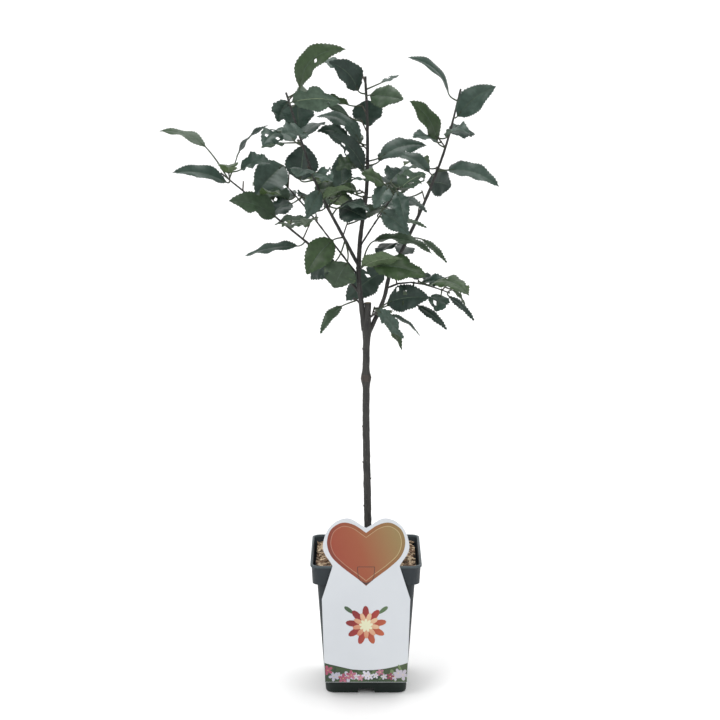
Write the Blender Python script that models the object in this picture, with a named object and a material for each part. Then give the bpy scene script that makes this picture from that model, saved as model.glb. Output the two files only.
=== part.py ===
"""A young apple tree in a square nursery pot, with its card.

Metres, +Z up. The origin is at the middle of the pot's flat underside, and -Y is the front.
"""
import math
import random

import bmesh
import bpy
from mathutils import Vector
from mathutils.bvhtree import BVHTree

MM = 0.001
GAP = 0.0003                     # clear space between neighbouring pieces

# Pot: a tapering square body, a collar that steps out of it, and a thin lip
POT_HEIGHT = 0.229
FOOT_WIDTH = 0.1345
BODY_TOP_WIDTH = 0.162
COLLAR_HEIGHT = 0.033
COLLAR_LOW_WIDTH = 0.177
COLLAR_TOP_WIDTH = 0.1808
LIP_WIDTH = 0.184
LIP_HEIGHT = 0.0035
CORNER = 0.015                   # radius of the upright corners
WALL = 0.002
FLOOR = 0.011                    # the moulded floor, which the drain notches run into
NOTCH_LOW_WIDTH = 0.030
NOTCH_TOP_WIDTH = 0.0245
NOTCH_HEIGHT = 0.008
NOTCH_DEPTH = 0.040
SOIL_TOP = 0.216

# Card: a heart on a skirt that stands in front of the rim
CARD_THICK = 0.001
CARD_FOOT = 0.029
CARD_FOOT_HALF = 0.0683
CARD_SHOULDER = (0.0727, 0.173)
CARD_WAIST = (0.0549, 0.230)
CARD_WIDEST = (0.0706, 0.2664)
CARD_LOBE = (0.0375, 0.3106)
CARD_CLEFT = (0.0, 0.2951)

# Where the plant is looked at from: a limb or leaf is measured in this view, on the upright
# plane through the pot's middle, and then set back or forward along the line of sight
EYE = Vector((-0.010, -3.20, 1.216))
FRONT = Vector((0, -1, 0))
UP = Vector((0, 0, 1))

# Trunk: its way as seen (x, z, depth) in mm, its radius, and where it swells
TRUNK_WAY = [(3, 216, 0), (3, 287, 0), (0.5, 420, 0), (0, 520, 0), (1, 600, 0), (3, 652, 0)]
TRUNK_RADIUS = 0.0064
STUB_RADIUS = 0.0057
TRUNK_RING = 0.010
ROOT_FLARE = (0.216, 0.0050, 0.014)          # height, extra radius, reach
GRAFT = (0.5256, 0.0028, 0.009)
FORK = (0.607, 0.0020, 0.016)
SWELLINGS = (ROOT_FLARE, GRAFT, FORK)

# Limbs: the way from foot to tip in mm, the radii at both, how much of it is bare, the carrier
LIMBS = {
    "leader": ([(-3, 606, 0), (-8, 652, 0), (-12.5, 700, 0), (-9, 765, 2), (1, 841, 4),
                (2, 940, 8), (-1.5, 1021, 10)], 4.6, 2.0, 0.45, "trunk"),
    "bough_left_front": ([(-12, 713, 0), (-46, 778, -25), (-78, 840, -50), (-103, 912, -75),
                          (-129, 995, -95)], 2.9, 1.5, 0.125, "leader"),
    "bough_left_low": ([(-10, 667, 0), (-37, 700, 6), (-87, 744, 16), (-149, 795, 30),
                        (-236, 866, 48)], 2.3, 1.3, 0.37, "leader"),
    "bough_left_back": ([(-13, 697, 2), (-60, 759, 42), (-99, 810, 80), (-133, 849, 112)],
                        1.7, 1.2, 0.36, "leader"),
    "bough_right_back": ([(4, 600, 2), (29, 658, 12), (39, 698, 20), (72, 767, 38),
                          (102, 835, 55), (130, 913, 70), (152, 1001, 80)],
                         3.7, 1.6, 0.23, "trunk"),
    "bough_right_front": ([(-9, 747, -1), (9, 776, -30), (31, 809, -70), (57, 847, -108)],
                          1.7, 1.1, 0.58, "leader"),
}

SQUARE_END = 0.002               # the last of a bough and the first of its stem run in one line

# Short side shoots that carry leaves of their own: way, radii, carrier
SHOOTS = {
    "leaves_fork": ([(2, 625, 0), (12, 632, -5), (20, 637, -9)], 2.0, 1.4, "trunk"),
    "leaves_right_low": ([(33, 676, 14), (62, 686, 6), (98, 682, -6), (138, 668, -18)],
                         1.7, 1.1, "bough_right_back"),
    "leaves_centre": ([(-12, 706, 0), (-5, 713, -7), (1, 717, -12)], 1.9, 1.4, "leader"),
    "leaves_leader_foot": ([(-9, 650, 0), (-15, 656, 3), (-21, 660, 6)], 1.8, 1.4, "leader"),
}

CARRIED_ON = {
    "leaves_top": "leader",
    "leaves_left_front": "bough_left_front",
    "leaves_left_low": "bough_left_low",
    "leaves_left_back": "bough_left_back",
    "leaves_right_back": "bough_right_back",
    "leaves_right_front": "bough_right_front",
}

# Leaves that give each mass its outline. For each: its blade's base and tip as seen (x, z), the
# blade's length with - for a leaf that comes forward, its width, how far it arches (share of its
# length), and where its upper side faces (0 up, 90 front, 180 down)
LEAVES = {
    "leaves_top": [
        (-4, 870, -64, 929, -88, 36, 0.12, 45),
        (23, 891, 98, 910, 84, 36, 0.12, 45),
        (-10, 916, -81, 956, 90, 32, 0.22, 35),
        (1, 983, 6, 941, 54, 48, 0.03, 85),
        (-13, 998, -60, 1044, -72, 40, 0.12, 60),
        (6, 991, 60, 984, -66, 40, 0.03, 60),
        (25, 1011, 53, 1023, 36, 13, 0.01, 15),
    ],
    "leaves_left_front": [
        (-54, 756, -97, 699, -74, 44, 0.11, 70),
        (-31, 718, -52, 676, -56, 54, 0.07, 75),
        (-51, 720, -91, 691, 60, 38, 0.07, 60),
        (-43, 810, 0, 790, -62, 42, 0.06, 65),
        (-39, 835, -42, 897, 68, 33, 0.02, 85),
        (-69, 823, -21, 839, -58, 24, 0.10, -30),
        (-107, 854, -100, 912, 62, 52, 0.04, 85),
        (-75, 836, -97, 791, -54, 28, 0.06, 110),
        (-81, 866, -54, 851, -56, 28, 0.06, 60),
        (-97, 930, -136, 930, -56, 42, 0.04, 40),
        (-133, 914, -169, 906, 52, 30, 0.04, -20),
        (-140, 932, -167, 911, -56, 34, 0.09, 60),
        (-119, 980, -41, 980, -84, 46, 0.07, -60),
        (-110, 976, -108, 936, 54, 50, 0.03, 82),
        (-107, 1002, -32, 1064, -108, 38, 0.20, 62),
        (-125, 981, -142, 948, 48, 32, 0.06, 95),
    ],
    "leaves_left_low": [
        (-111, 746, -199, 729, 98, 26, 0.06, 30),
        (-148, 794, -224, 820, -92, 42, 0.10, 60),
        (-226, 850, -315, 866, -100, 30, 0.09, 45),
        (-213, 880, -158, 943, -90, 24, 0.11, 22),
        (-259, 907, -335, 933, 88, 26, 0.11, 20),
    ],
    "leaves_left_back": [
        (-127, 822, -166, 835, -58, 34, 0.07, -35),
        (-99, 787, -150, 780, -64, 30, 0.10, -30),
        (-135, 878, -180, 829, -82, 56, 0.05, 75),
        (-148, 875, -184, 890, 52, 22, 0.07, -25),
    ],
    "leaves_right_back": [
        (31, 705, -33, 655, 84, 46, 0.07, 80),
        (92, 757, 132, 718, -62, 13, 0.05, 25),
        (103, 866, 42, 898, 74, 28, 0.11, 30),
        (99, 851, 138, 844, 64, 44, 0.04, 85),
        (132, 870, 216, 843, -96, 34, 0.12, 40),
        (115, 916, 69, 982, -88, 36, 0.11, 45),
        (134, 932, 176, 928, 54, 34, 0.09, 40),
        (147, 957, 209, 1005, -86, 42, 0.08, 65),
        (133, 992, 66, 1051, -98, 36, 0.15, 28),
    ],
    "leaves_right_front": [
        (26, 803, 70, 765, -60, 32, 0.06, 80),
        (19, 794, 99, 776, -88, 17, 0.07, 30),
        (50, 823, 99, 801, -60, 16, 0.12, 25),
        (50, 835, 64, 778, -64, 24, 0.10, 65),
        (29, 848, -8, 864, -52, 30, 0.07, 50),
        (56, 842, 96, 865, -58, 40, 0.06, -50),
        (40, 852, 58, 870, 46, 40, 0.04, 75),
        (36, 842, 13, 808, -50, 30, 0.07, 65),
    ],
    "leaves_right_low": [
        (84, 648, 133, 607, -72, 17, 0.06, 35),
        (90, 685, 142, 680, -62, 26, 0.11, 40),
        (123, 665, 115, 637, -44, 34, 0.05, 70),
        (142, 673, 164, 643, 48, 12, 0.07, 40),
        (136, 663, 178, 622, -62, 12, 0.07, 35),
    ],
    "leaves_fork": [
        (35, 652, 105, 660, -84, 44, 0.06, 70),
        (27, 625, 59, 573, 66, 21, 0.07, 40),
        (39, 632, 89, 596, 66, 13, 0.09, 25),
        (19, 640, 62, 592, -72, 24, 0.09, 110),
    ],
    "leaves_centre": [
        (12, 712, 99, 695, -96, 44, 0.09, 55),
        (-7, 713, 60, 725, -74, 34, 0.06, -50),
        (9, 752, 108, 733, -112, 28, 0.14, 25),
    ],
    "leaves_leader_foot": [
        (-39, 647, -75, 600, -68, 17, 0.12, 32),
    ],
}

# The rule for the side twigs that fill each mass towards its back and front
TWIGS = {
    "leaves_top": 9, "leaves_left_front": 7, "leaves_left_low": 6, "leaves_left_back": 5,
    "leaves_right_back": 8, "leaves_right_front": 3, "leaves_right_low": 3, "leaves_fork": 1,
    "leaves_centre": 1, "leaves_leader_foot": 1,
}
SEED = 11
TWIG_LENGTH = (0.022, 0.040)
TWIG_RADIUS = 0.0011
TWIG_SPREAD = 30                 # degrees to either side of straight forward or straight back
TWIG_LEAVES = 3
TWIG_SINK = 0.9                  # where along the twig its end leaves start
STEM_SPOTS = 97                  # places along a stem where a leaf may start
TIP_SPOTS = 3                    # how many of them at the tip stay free
STEM_CLEAR = 0.009               # how far up the stem the first leaf starts
SHADE = 0.016                    # how far from an outline leaf's rib a filling leaf may be seen
FILL_LENGTH = (0.070, 0.092)
FILL_RATIO = (0.36, 0.46)        # width to length
SHIFTS = (0, -10, 10, -20, 20, -32, 32, -46, 46)     # mm along the line of sight
TURNS = (0, 25, -25)             # degrees

# Leaf: a petiole and a pointed blade, folded a little along its rib
PETIOLE = 0.022                  # least length; a blade that starts farther off has a longer one
PETIOLE_SPARE = 1.14             # its length, to the way that it has to go in the view
PETIOLE_DROP = 0.35              # how far down the stem it starts, to its length
PETIOLE_HALF = 0.0010
PETIOLE_BEND = 0.12              # how far its middle stands off the straight line, to its length
BLADE = ((0.0, 0.06), (0.12, 0.60), (0.34, 1.0), (0.60, 0.88), (0.82, 0.46))
FOLD = math.radians(14)
BOW_SHARE = 0.4                  # how far the arch turns with the upper side
LEAST_THICK = 0.0011
THICK_SHARE = 1 / 85
CLEAR = 0.0012                   # kept free round a leaf while the crown grows

COLOURS = {
    "pot": ((0.085, 0.095, 0.105, 1), 0.55), "soil": ((0.20, 0.13, 0.085, 1), 0.95),
    "card": ((0.80, 0.83, 0.85, 1), 0.45), "bark": ((0.105, 0.085, 0.075, 1), 0.80),
    "leaf": ((0.060, 0.115, 0.070, 1), 0.50),
}


def clear_scene():
    for obj in list(bpy.data.objects):
        bpy.data.objects.remove(obj, do_unlink=True)


def new_collection(name):
    collection = bpy.data.collections.new(name)
    bpy.context.scene.collection.children.link(collection)
    return collection


def material(name, colour, roughness):
    made = bpy.data.materials.new(name)
    made.use_nodes = True
    shader = made.node_tree.nodes["Principled BSDF"]
    shader.inputs["Base Color"].default_value = colour
    shader.inputs["Roughness"].default_value = roughness
    shader.inputs["Metallic"].default_value = 0.0
    return made


def add_object(name, data, collection, kind=None):
    obj = bpy.data.objects.new(name, data)
    collection.objects.link(obj)
    if kind:
        colour, roughness = COLOURS[kind]
        data.materials.clear()
        data.materials.append(material(name + "_" + kind, colour, roughness))
    return obj


def evaluated_mesh(obj):
    """The object's mesh with its modifiers, or its bevel, applied and its caps welded."""
    bpy.context.view_layer.update()
    depsgraph = bpy.context.evaluated_depsgraph_get()
    mesh = bpy.data.meshes.new_from_object(obj.evaluated_get(depsgraph))
    bm = bmesh.new()
    bm.from_mesh(mesh)
    bmesh.ops.remove_doubles(bm, verts=bm.verts, dist=1e-6)
    bm.to_mesh(mesh)
    bm.free()
    return mesh


def baked(obj, collection, kind):
    """Replaces an object by a plain mesh object of the same name and shape."""
    name = obj.name
    mesh = evaluated_mesh(obj)
    matrix = obj.matrix_world.copy()
    bpy.data.objects.remove(obj, do_unlink=True)
    mesh.name = name
    made = add_object(name, mesh, collection, kind)
    made.matrix_world = matrix
    return made


def boolean(obj, operation, other=None, collection=None):
    modifier = obj.modifiers.new(operation.title(), "BOOLEAN")
    modifier.operation = operation
    modifier.solver = "EXACT"
    if collection:
        modifier.operand_type = "COLLECTION"
        modifier.collection = collection
    else:
        modifier.object = other


def tapered_block(name, low, low_width, high, high_width, collection, kind=None, corner=CORNER):
    """A square block between two heights, with rounded upright corners."""
    bm = bmesh.new()
    bmesh.ops.create_cube(bm, size=1)
    for vert in bm.verts:
        half, height = (low_width / 2, low) if vert.co.z < 0 else (high_width / 2, high)
        vert.co = Vector((math.copysign(half, vert.co.x), math.copysign(half, vert.co.y), height))
    upright = [e for e in bm.edges if abs(e.verts[0].co.z - e.verts[1].co.z) > 1e-4]
    bmesh.ops.bevel(bm, geom=upright, offset=corner, segments=4, profile=0.5, affect="EDGES")
    mesh = bpy.data.meshes.new(name)
    bm.to_mesh(mesh)
    bm.free()
    return add_object(name, mesh, collection, kind)


def body_width(height):
    """The pot body's outer width at a height, and the same taper carried on above it."""
    return FOOT_WIDTH + (BODY_TOP_WIDTH - FOOT_WIDTH) * height / (POT_HEIGHT - COLLAR_HEIGHT)


def notch_cutter(collection):
    """Four drain notches, one in the middle of each side, that leave the underside's middle flat."""
    bm = bmesh.new()
    outer = FOOT_WIDTH / 2 + WALL
    for quarter in range(4):
        made = bmesh.ops.create_cube(bm, size=1)["verts"]
        turn = quarter * math.pi / 2
        for vert in made:
            half = (NOTCH_LOW_WIDTH if vert.co.z < 0 else NOTCH_TOP_WIDTH) / 2
            across = math.copysign(half, vert.co.x)
            inward = -outer if vert.co.y < 0 else NOTCH_DEPTH - FOOT_WIDTH / 2
            height = -WALL if vert.co.z < 0 else NOTCH_HEIGHT
            vert.co = Vector((across * math.cos(turn) - inward * math.sin(turn),
                              across * math.sin(turn) + inward * math.cos(turn), height))
    mesh = bpy.data.meshes.new("notches")
    bm.to_mesh(mesh)
    bm.free()
    return add_object("notches", mesh, collection)


def pot(parts, cutters):
    step = POT_HEIGHT - COLLAR_HEIGHT
    joint = step + WALL
    made = tapered_block("pot", 0, FOOT_WIDTH, joint, body_width(joint), parts, "pot")
    collar = tapered_block("collar", step, COLLAR_LOW_WIDTH, POT_HEIGHT, COLLAR_TOP_WIDTH, cutters)
    lip = tapered_block("lip", POT_HEIGHT - LIP_HEIGHT, LIP_WIDTH, POT_HEIGHT, LIP_WIDTH, cutters)
    inner = 2 * WALL
    above = POT_HEIGHT + WALL
    body_hollow = tapered_block("body_hollow", FLOOR, body_width(FLOOR) - inner, above,
                                body_width(above) - inner, cutters, corner=CORNER - WALL)
    collar_hollow = tapered_block("collar_hollow", joint, COLLAR_LOW_WIDTH - inner, above,
                                  COLLAR_TOP_WIDTH - inner, cutters, corner=CORNER - WALL)
    boolean(made, "UNION", collar)
    boolean(made, "UNION", lip)
    boolean(made, "DIFFERENCE", body_hollow)
    boolean(made, "DIFFERENCE", collar_hollow)
    boolean(made, "DIFFERENCE", notch_cutter(cutters))


def soil(parts, cutters):
    """The root ball and its mulch, which fill the pot."""
    step = POT_HEIGHT - COLLAR_HEIGHT
    inner = 2 * (WALL + GAP)
    corner = CORNER - WALL - GAP
    made = tapered_block("soil", FLOOR + GAP, body_width(FLOOR) - inner, SOIL_TOP,
                         body_width(SOIL_TOP) - inner, parts, "soil", corner)
    ledge = tapered_block("soil_ledge", step + WALL + GAP, COLLAR_LOW_WIDTH - inner, SOIL_TOP,
                          COLLAR_LOW_WIDTH - inner, cutters, corner=corner)
    boolean(made, "UNION", ledge)


def card(parts):
    """The heart-headed card, flat and upright, just clear of the lip."""
    right = [CARD_LOBE, CARD_WIDEST, CARD_WAIST, CARD_SHOULDER, (CARD_FOOT_HALF, CARD_FOOT)]
    left = [(-x, z) for x, z in reversed(right)]
    round_points = (CARD_LOBE[1], CARD_WIDEST[1])
    outline = [CARD_CLEFT] + right + left
    curve = bpy.data.curves.new("card", "CURVE")
    curve.dimensions = "2D"
    curve.fill_mode = "BOTH"
    curve.extrude = CARD_THICK / 2
    curve.resolution_u = 6
    spline = curve.splines.new("BEZIER")
    spline.bezier_points.add(len(outline) - 1)
    spline.use_cyclic_u = True
    for point, (x, z) in zip(spline.bezier_points, outline):
        point.co = (x, z, 0)
        kind = "AUTO" if z in round_points else "VECTOR"
        point.handle_left_type = kind
        point.handle_right_type = kind
    made = add_object("card", curve, parts, "card")
    made.rotation_euler = (math.pi / 2, 0, 0)
    made.location = (0, -(LIP_WIDTH / 2 + GAP + CARD_THICK / 2), 0)


def seen(x, z, depth=0.0):
    """The point seen at x, z on the middle plane, at a depth behind that plane (all in mm)."""
    flat = Vector((x * MM, 0, z * MM))
    return flat + (flat - EYE) * (depth * MM / -EYE.y)


def smooth_way(way, steps=12):
    """A Catmull-Rom curve through the way's points, as a list of points an even step apart."""
    points = [seen(*p) for p in way]
    points = [points[0] * 2 - points[1]] + points + [points[-1] * 2 - points[-2]]
    dense = []
    for a, b, c, d in zip(points, points[1:], points[2:], points[3:]):
        for i in range(steps):
            t = i / steps
            dense.append(0.5 * (2 * b + (c - a) * t + (2 * a - 5 * b + 4 * c - d) * t ** 2
                                + (3 * b - a - 3 * c + d) * t ** 3))
    dense.append(points[-2])
    return dense


def way_length(way):
    return sum((b - a).length for a, b in zip(way, way[1:]))


def point_on(way, share):
    """The point at a share, 0 to 1, of the way's length."""
    left = share * way_length(way)
    for a, b in zip(way, way[1:]):
        step = (b - a).length
        if left <= step:
            return a.lerp(b, left / step)
        left -= step
    return way[-1].copy()


def stretch(way, start, end, count):
    """Points an even step apart between two shares of a way."""
    return [point_on(way, start + (end - start) * i / (count - 1)) for i in range(count)]


def tube(name, points, radii, collection, resolution=2):
    """A round, tapering solid along the points."""
    curve = bpy.data.curves.new(name, "CURVE")
    curve.dimensions = "3D"
    curve.bevel_depth = MM
    curve.bevel_resolution = resolution
    curve.use_fill_caps = True
    spline = curve.splines.new("POLY")
    spline.points.add(len(points) - 1)
    for spot, point, radius in zip(spline.points, points, radii):
        spot.co = (*point, 1)
        spot.radius = radius / MM
    obj = add_object(name, curve, collection)
    return baked(obj, collection, None)


def trunk_radius(height):
    top = TRUNK_WAY[-1][1] * MM
    foot = TRUNK_WAY[0][1] * MM
    radius = TRUNK_RADIUS + (STUB_RADIUS - TRUNK_RADIUS) * (height - foot) / (top - foot)
    for centre, extra, reach in SWELLINGS:
        radius += extra * math.exp(-((height - centre) / reach) ** 2)
    return radius


def square_to(way, share, step):
    """Where a way passes a share of its length, and a point a step on along its run there."""
    here = point_on(way, share)
    run = (point_on(way, share + 0.01) - point_on(way, share - 0.01)).normalized()
    return here, here + run * step


def taper(thick, thin, start, end, count):
    """Radii in metres between two shares of a limb, from its radii at foot and tip in mm."""
    shares = [start + (end - start) * i / (count - 1) for i in range(count)]
    return [(thick + (thin - thick) * share) * MM for share in shares]


def trunk(parts):
    way = smooth_way(TRUNK_WAY)
    count = round(way_length(way) / TRUNK_RING) + 1
    points = stretch(way, 0, 1, count)
    points[0].z = SOIL_TOP + GAP
    points[1].xy = points[0].xy
    points[-1].xy = points[-2].xy
    radii = [trunk_radius(p.z) for p in points]
    made = tube("trunk", points, radii, parts)
    made.data.materials.append(material("trunk_bark", *COLOURS["bark"]))
    return points, radii


def seated(obj, carrier, collection, cutters):
    """Cuts a limb's foot back to its carrier's surface, with the gap between them."""
    points, radii = carrier
    fat = tube(obj.name + "_seat", points, [r + GAP for r in radii], cutters)
    boolean(obj, "DIFFERENCE", fat)
    made = baked(obj, collection, "bark")
    bpy.data.objects.remove(fat, do_unlink=True)
    return made


def limb(name, parts, cutters, carriers):
    """One bare, tapering limb, from its carrier to where its leaves begin."""
    way, thick, thin, bare, carrier = LIMBS[name]
    way = smooth_way(way)
    count = max(5, round(bare * way_length(way) / 0.012))
    points = stretch(way, 0, bare, count)
    radii = taper(thick, thin, 0, bare, count)
    end, before = square_to(way, bare, -SQUARE_END)
    points[-1:] = [before, end]
    radii.append(radii[-1])
    obj = tube(name, points, radii, parts)
    carriers[name] = (points, radii)
    return seated(obj, carriers[carrier], parts, cutters)


def facing_normal(facing, tangent):
    """The upper side's direction, square to the leaf's run: 0 up, 90 front, 180 down."""
    angle = math.radians(facing)
    wish = UP * math.cos(angle) + FRONT * math.sin(angle)
    normal = wish - tangent * wish.dot(tangent)
    if normal.length < 0.2:
        normal = tangent.orthogonal()
    return normal.normalized()


def leaf_rings(root, base, tip, width, arch, facing, fat=0.0):
    """The leaf's sections from its petiole's foot to near its tip, each of four points."""
    stalk = base - root
    chord = tip - base
    length = chord.length
    along = chord.normalized()
    normal = facing_normal(facing, along)
    bow = facing_normal(facing * BOW_SHARE, along) * (arch * length)
    half_thick = max(LEAST_THICK, length * THICK_SHARE) / 2
    first = chord + bow * 4
    middle = root.lerp(base, 0.55) + (stalk - first.normalized() * stalk.length) * PETIOLE_BEND
    stations = [(root, stalk, PETIOLE_HALF, PETIOLE_HALF, 0),
                (middle, stalk, PETIOLE_HALF, PETIOLE_HALF, 0)]
    for share, wide in BLADE:
        half = max(width / 2 * wide, PETIOLE_HALF)
        thick = max(half_thick, PETIOLE_HALF * (1 - 4 * share))
        centre = base + chord * share + bow * (4 * share * (1 - share))
        tangent = chord + bow * (4 * (1 - 2 * share))
        stations.append((centre, tangent, half, thick, FOLD if share else 0))
    rings = []
    for centre, tangent, half, thick, fold in stations:
        side = tangent.cross(normal).normalized()
        up = side.cross(tangent).normalized()
        out = side * ((half + fat) * math.cos(fold))
        lift = up * (half * math.sin(fold))
        rings.append([centre - out + lift, centre + up * (thick + fat),
                      centre + out + lift, centre - up * (thick + fat)])
    return rings


def leaf_faces(rings, tip):
    """The points and faces of a closed leaf: a loft over its sections, run out to a point."""
    verts = [point for ring in rings for point in ring] + [tip]
    last = len(verts) - 1
    faces = [(3, 2, 1, 0)]
    for ring in range(len(rings) - 1):
        for k in range(4):
            a = ring * 4 + k
            b = ring * 4 + (k + 1) % 4
            faces.append((a, b, b + 4, a + 4))
    for k in range(4):
        faces.append((last - 4 + k, last - 4 + (k + 1) % 4, last))
    return verts, faces


def leaf_object(name, leaf, collection):
    verts, faces = leaf_faces(leaf_rings(*leaf), leaf[2])
    mesh = bpy.data.meshes.new(name)
    mesh.from_pydata(verts, [], faces)
    bm = bmesh.new()
    bm.from_mesh(mesh)
    bmesh.ops.recalc_face_normals(bm, faces=bm.faces)
    bmesh.ops.triangulate(bm, faces=bm.faces)
    bm.to_mesh(mesh)
    bm.free()
    return add_object(name, mesh, collection)


def tube_tree(points, radii):
    """A search tree over a limb's surface, as a rough six-sided tube."""
    verts = []
    faces = []
    sides = 6
    for i, (point, radius) in enumerate(zip(points, radii)):
        run = (points[min(i + 1, len(points) - 1)] - points[max(i - 1, 0)]).normalized()
        across = run.orthogonal().normalized()
        other = run.cross(across)
        for k in range(sides):
            turn = 2 * math.pi * k / sides
            verts.append(point + (across * math.cos(turn) + other * math.sin(turn)) * radius * 1.15)
    for i in range(len(points) - 1):
        for k in range(sides):
            a = i * sides + k
            b = i * sides + (k + 1) % sides
            faces.append((a, b, b + sides, a + sides))
    return BVHTree.FromPolygons(verts, faces)


def leaf_trees(leaf):
    """Search trees over a slightly fattened leaf: the whole of it, and its blade alone."""
    rings = leaf_rings(*leaf, fat=CLEAR)
    whole = BVHTree.FromPolygons(*leaf_faces(rings, leaf[2]))
    blade = BVHTree.FromPolygons(*leaf_faces(rings[3:], leaf[2]))
    return whole, blade


class Mass:
    """One mass of leaves: its stem, its side twigs and its leaves, kept clear of all others."""

    def __init__(self, name, points, radii):
        self.name = name
        self.stem = (points, radii)
        self.twigs = []
        self.leaves = []
        self.wood_trees = [tube_tree(points, radii)]
        self.whole_trees = []
        self.blade_trees = []

    def clear_of(self, leaf, others, limb_trees):
        whole, blade = leaf_trees(leaf)
        for tree in limb_trees:
            if whole.overlap(tree):
                return None
        for other in others:
            if other is self:
                continue
            for tree in other.wood_trees + other.whole_trees:
                if whole.overlap(tree):
                    return None
        for tree in self.wood_trees + self.blade_trees:
            if blade.overlap(tree):
                return None
        return whole, blade

    def add(self, leaf, others, limb_trees):
        """Keeps a leaf if it has a free place, moved a little along the line of sight if need be."""
        root, base, tip, width, arch, facing = leaf
        sight = (tip - EYE).normalized()
        for turn in TURNS:
            for shift in SHIFTS:
                moved = (root, base, tip + sight * (shift * MM), width, arch, facing + turn)
                trees = self.clear_of(moved, others, limb_trees)
                if trees:
                    self.leaves.append(moved)
                    self.whole_trees.append(trees[0])
                    self.blade_trees.append(trees[1])
                    return True
        return False


def on_plane(point):
    """Where a point is seen on the middle plane."""
    return EYE + (point - EYE) * (EYE.y / (EYE.y - point.y))


def set_off(start, x, z, length):
    """The point seen at x, z that lies a length from the start: behind it, or before it for -."""
    depth = start.y / MM
    across = (seen(x, z, depth) - start).length / MM
    reach = math.sqrt(max(length ** 2 - across ** 2, 0))
    return seen(x, z, depth + math.copysign(reach, length))


def outline_leaf(stem_points, row):
    """A leaf of the outline, from its row of measures."""
    x, z, tip_x, tip_z, length, width, arch, facing = row
    spots = [point_on(stem_points, i / STEM_SPOTS) for i in range(STEM_SPOTS + 1)]
    flat = seen(x, z)
    gaps = [(on_plane(spot) - flat).length for spot in spots]
    off = min(gaps)
    drop = round(off * PETIOLE_DROP / way_length(stem_points) * STEM_SPOTS)
    lowest = math.ceil(STEM_CLEAR / way_length(stem_points) * STEM_SPOTS)
    root = spots[min(max(gaps.index(off) - drop, lowest), STEM_SPOTS - TIP_SPOTS)]
    stalk = max(off * PETIOLE_SPARE, PETIOLE) / MM
    base = set_off(root, x, z, math.copysign(stalk, length))
    return root, base, set_off(base, tip_x, tip_z, length), width * MM, arch, facing


def rib_points(leaf):
    """Points along a leaf's rib as they are seen on the middle plane."""
    rings = leaf_rings(*leaf)
    return [on_plane((ring[1] + ring[3]) / 2) for ring in rings[2:]] + [on_plane(leaf[2])]


def in_shade(leaf, shown):
    """Whether a leaf is seen only where outline leaves are, so that the crown's gaps stay open."""
    return all(min((point - rib).length for rib in shown) < SHADE for point in rib_points(leaf))


def fill_twigs(mass, rng, others, limb_trees, shown):
    """Side twigs that leave the stem to the back and the front in turn, each with its leaves."""
    points, radii = mass.stem
    count = TWIGS[mass.name]
    for i in range(count):
        share = (i + 0.5 + rng.uniform(-0.2, 0.2)) / count
        root = point_on(points, share)
        heading = (90 if i % 2 == 0 else -90) + rng.uniform(-TWIG_SPREAD, TWIG_SPREAD)
        rise = math.radians(rng.uniform(15, 45))
        level = math.radians(heading)
        run = Vector((math.cos(level) * math.cos(rise), math.sin(level) * math.cos(rise), math.sin(rise)))
        end = root + run * rng.uniform(*TWIG_LENGTH)
        ways = [root, root.lerp(end, 0.5), end]
        thick = [TWIG_RADIUS * 1.2, TWIG_RADIUS * 1.1, TWIG_RADIUS]
        tree = tube_tree(ways, thick)
        blocked = any(tree.overlap(t) for t in limb_trees + mass.blade_trees)
        for other in others:
            if other is not mass:
                blocked = blocked or any(tree.overlap(t) for t in other.wood_trees + other.whole_trees)
        leaves = []
        for k in range(TWIG_LEAVES):
            turn = level + math.radians((k - 1) * 62 + rng.uniform(-14, 14))
            drop = math.radians(rng.uniform(-28, 22))
            way = Vector((math.cos(turn) * math.cos(drop), math.sin(turn) * math.cos(drop), math.sin(drop)))
            length = rng.uniform(*FILL_LENGTH)
            width = length * rng.uniform(*FILL_RATIO)
            start = ways[1] if k == 1 else root.lerp(end, TWIG_SINK)
            leaves.append((start, start + way * PETIOLE, start + way * length, width,
                           rng.uniform(0.06, 0.2), rng.uniform(-25, 55)))
        leaves = [leaf for leaf in leaves if in_shade(leaf, shown)]
        if blocked or not leaves:
            continue
        mass.twigs.append((ways, thick))
        mass.wood_trees.append(tree)
        for leaf in leaves:
            mass.add(leaf, others, limb_trees)


def mass_stem(name):
    """The stem that a mass grows from: its bough's own run carried on, or a shoot."""
    if name in CARRIED_ON:
        way, thick, thin, bare, _ = LIMBS[CARRIED_ON[name]]
        way = smooth_way(way)
    else:
        way, thick, thin, _ = SHOOTS[name]
        way = smooth_way(way)
        bare = 0
    count = max(4, round((1 - bare) * way_length(way) / 0.018))
    points = stretch(way, bare, 1, count)
    radii = taper(thick, thin, bare, 1, count)
    if bare:
        points[:1] = [square_to(way, bare, GAP)[1], square_to(way, bare, GAP + SQUARE_END)[1]]
        radii.insert(0, radii[0])
    return points, radii


def plan_crown(carriers):
    """Places every leaf and twig: first those of the outline, then those that fill."""
    limb_trees = [tube_tree(points, radii) for points, radii in carriers.values()]
    masses = [Mass(name, *mass_stem(name)) for name in LEAVES]
    for mass in masses:
        for row in LEAVES[mass.name]:
            mass.add(outline_leaf(mass.stem[0], row), masses, limb_trees)
    shown = [point for mass in masses for leaf in mass.leaves for point in rib_points(leaf)]
    rng = random.Random(SEED)
    for mass in masses:
        fill_twigs(mass, rng, masses, limb_trees, shown)
    return masses


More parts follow.
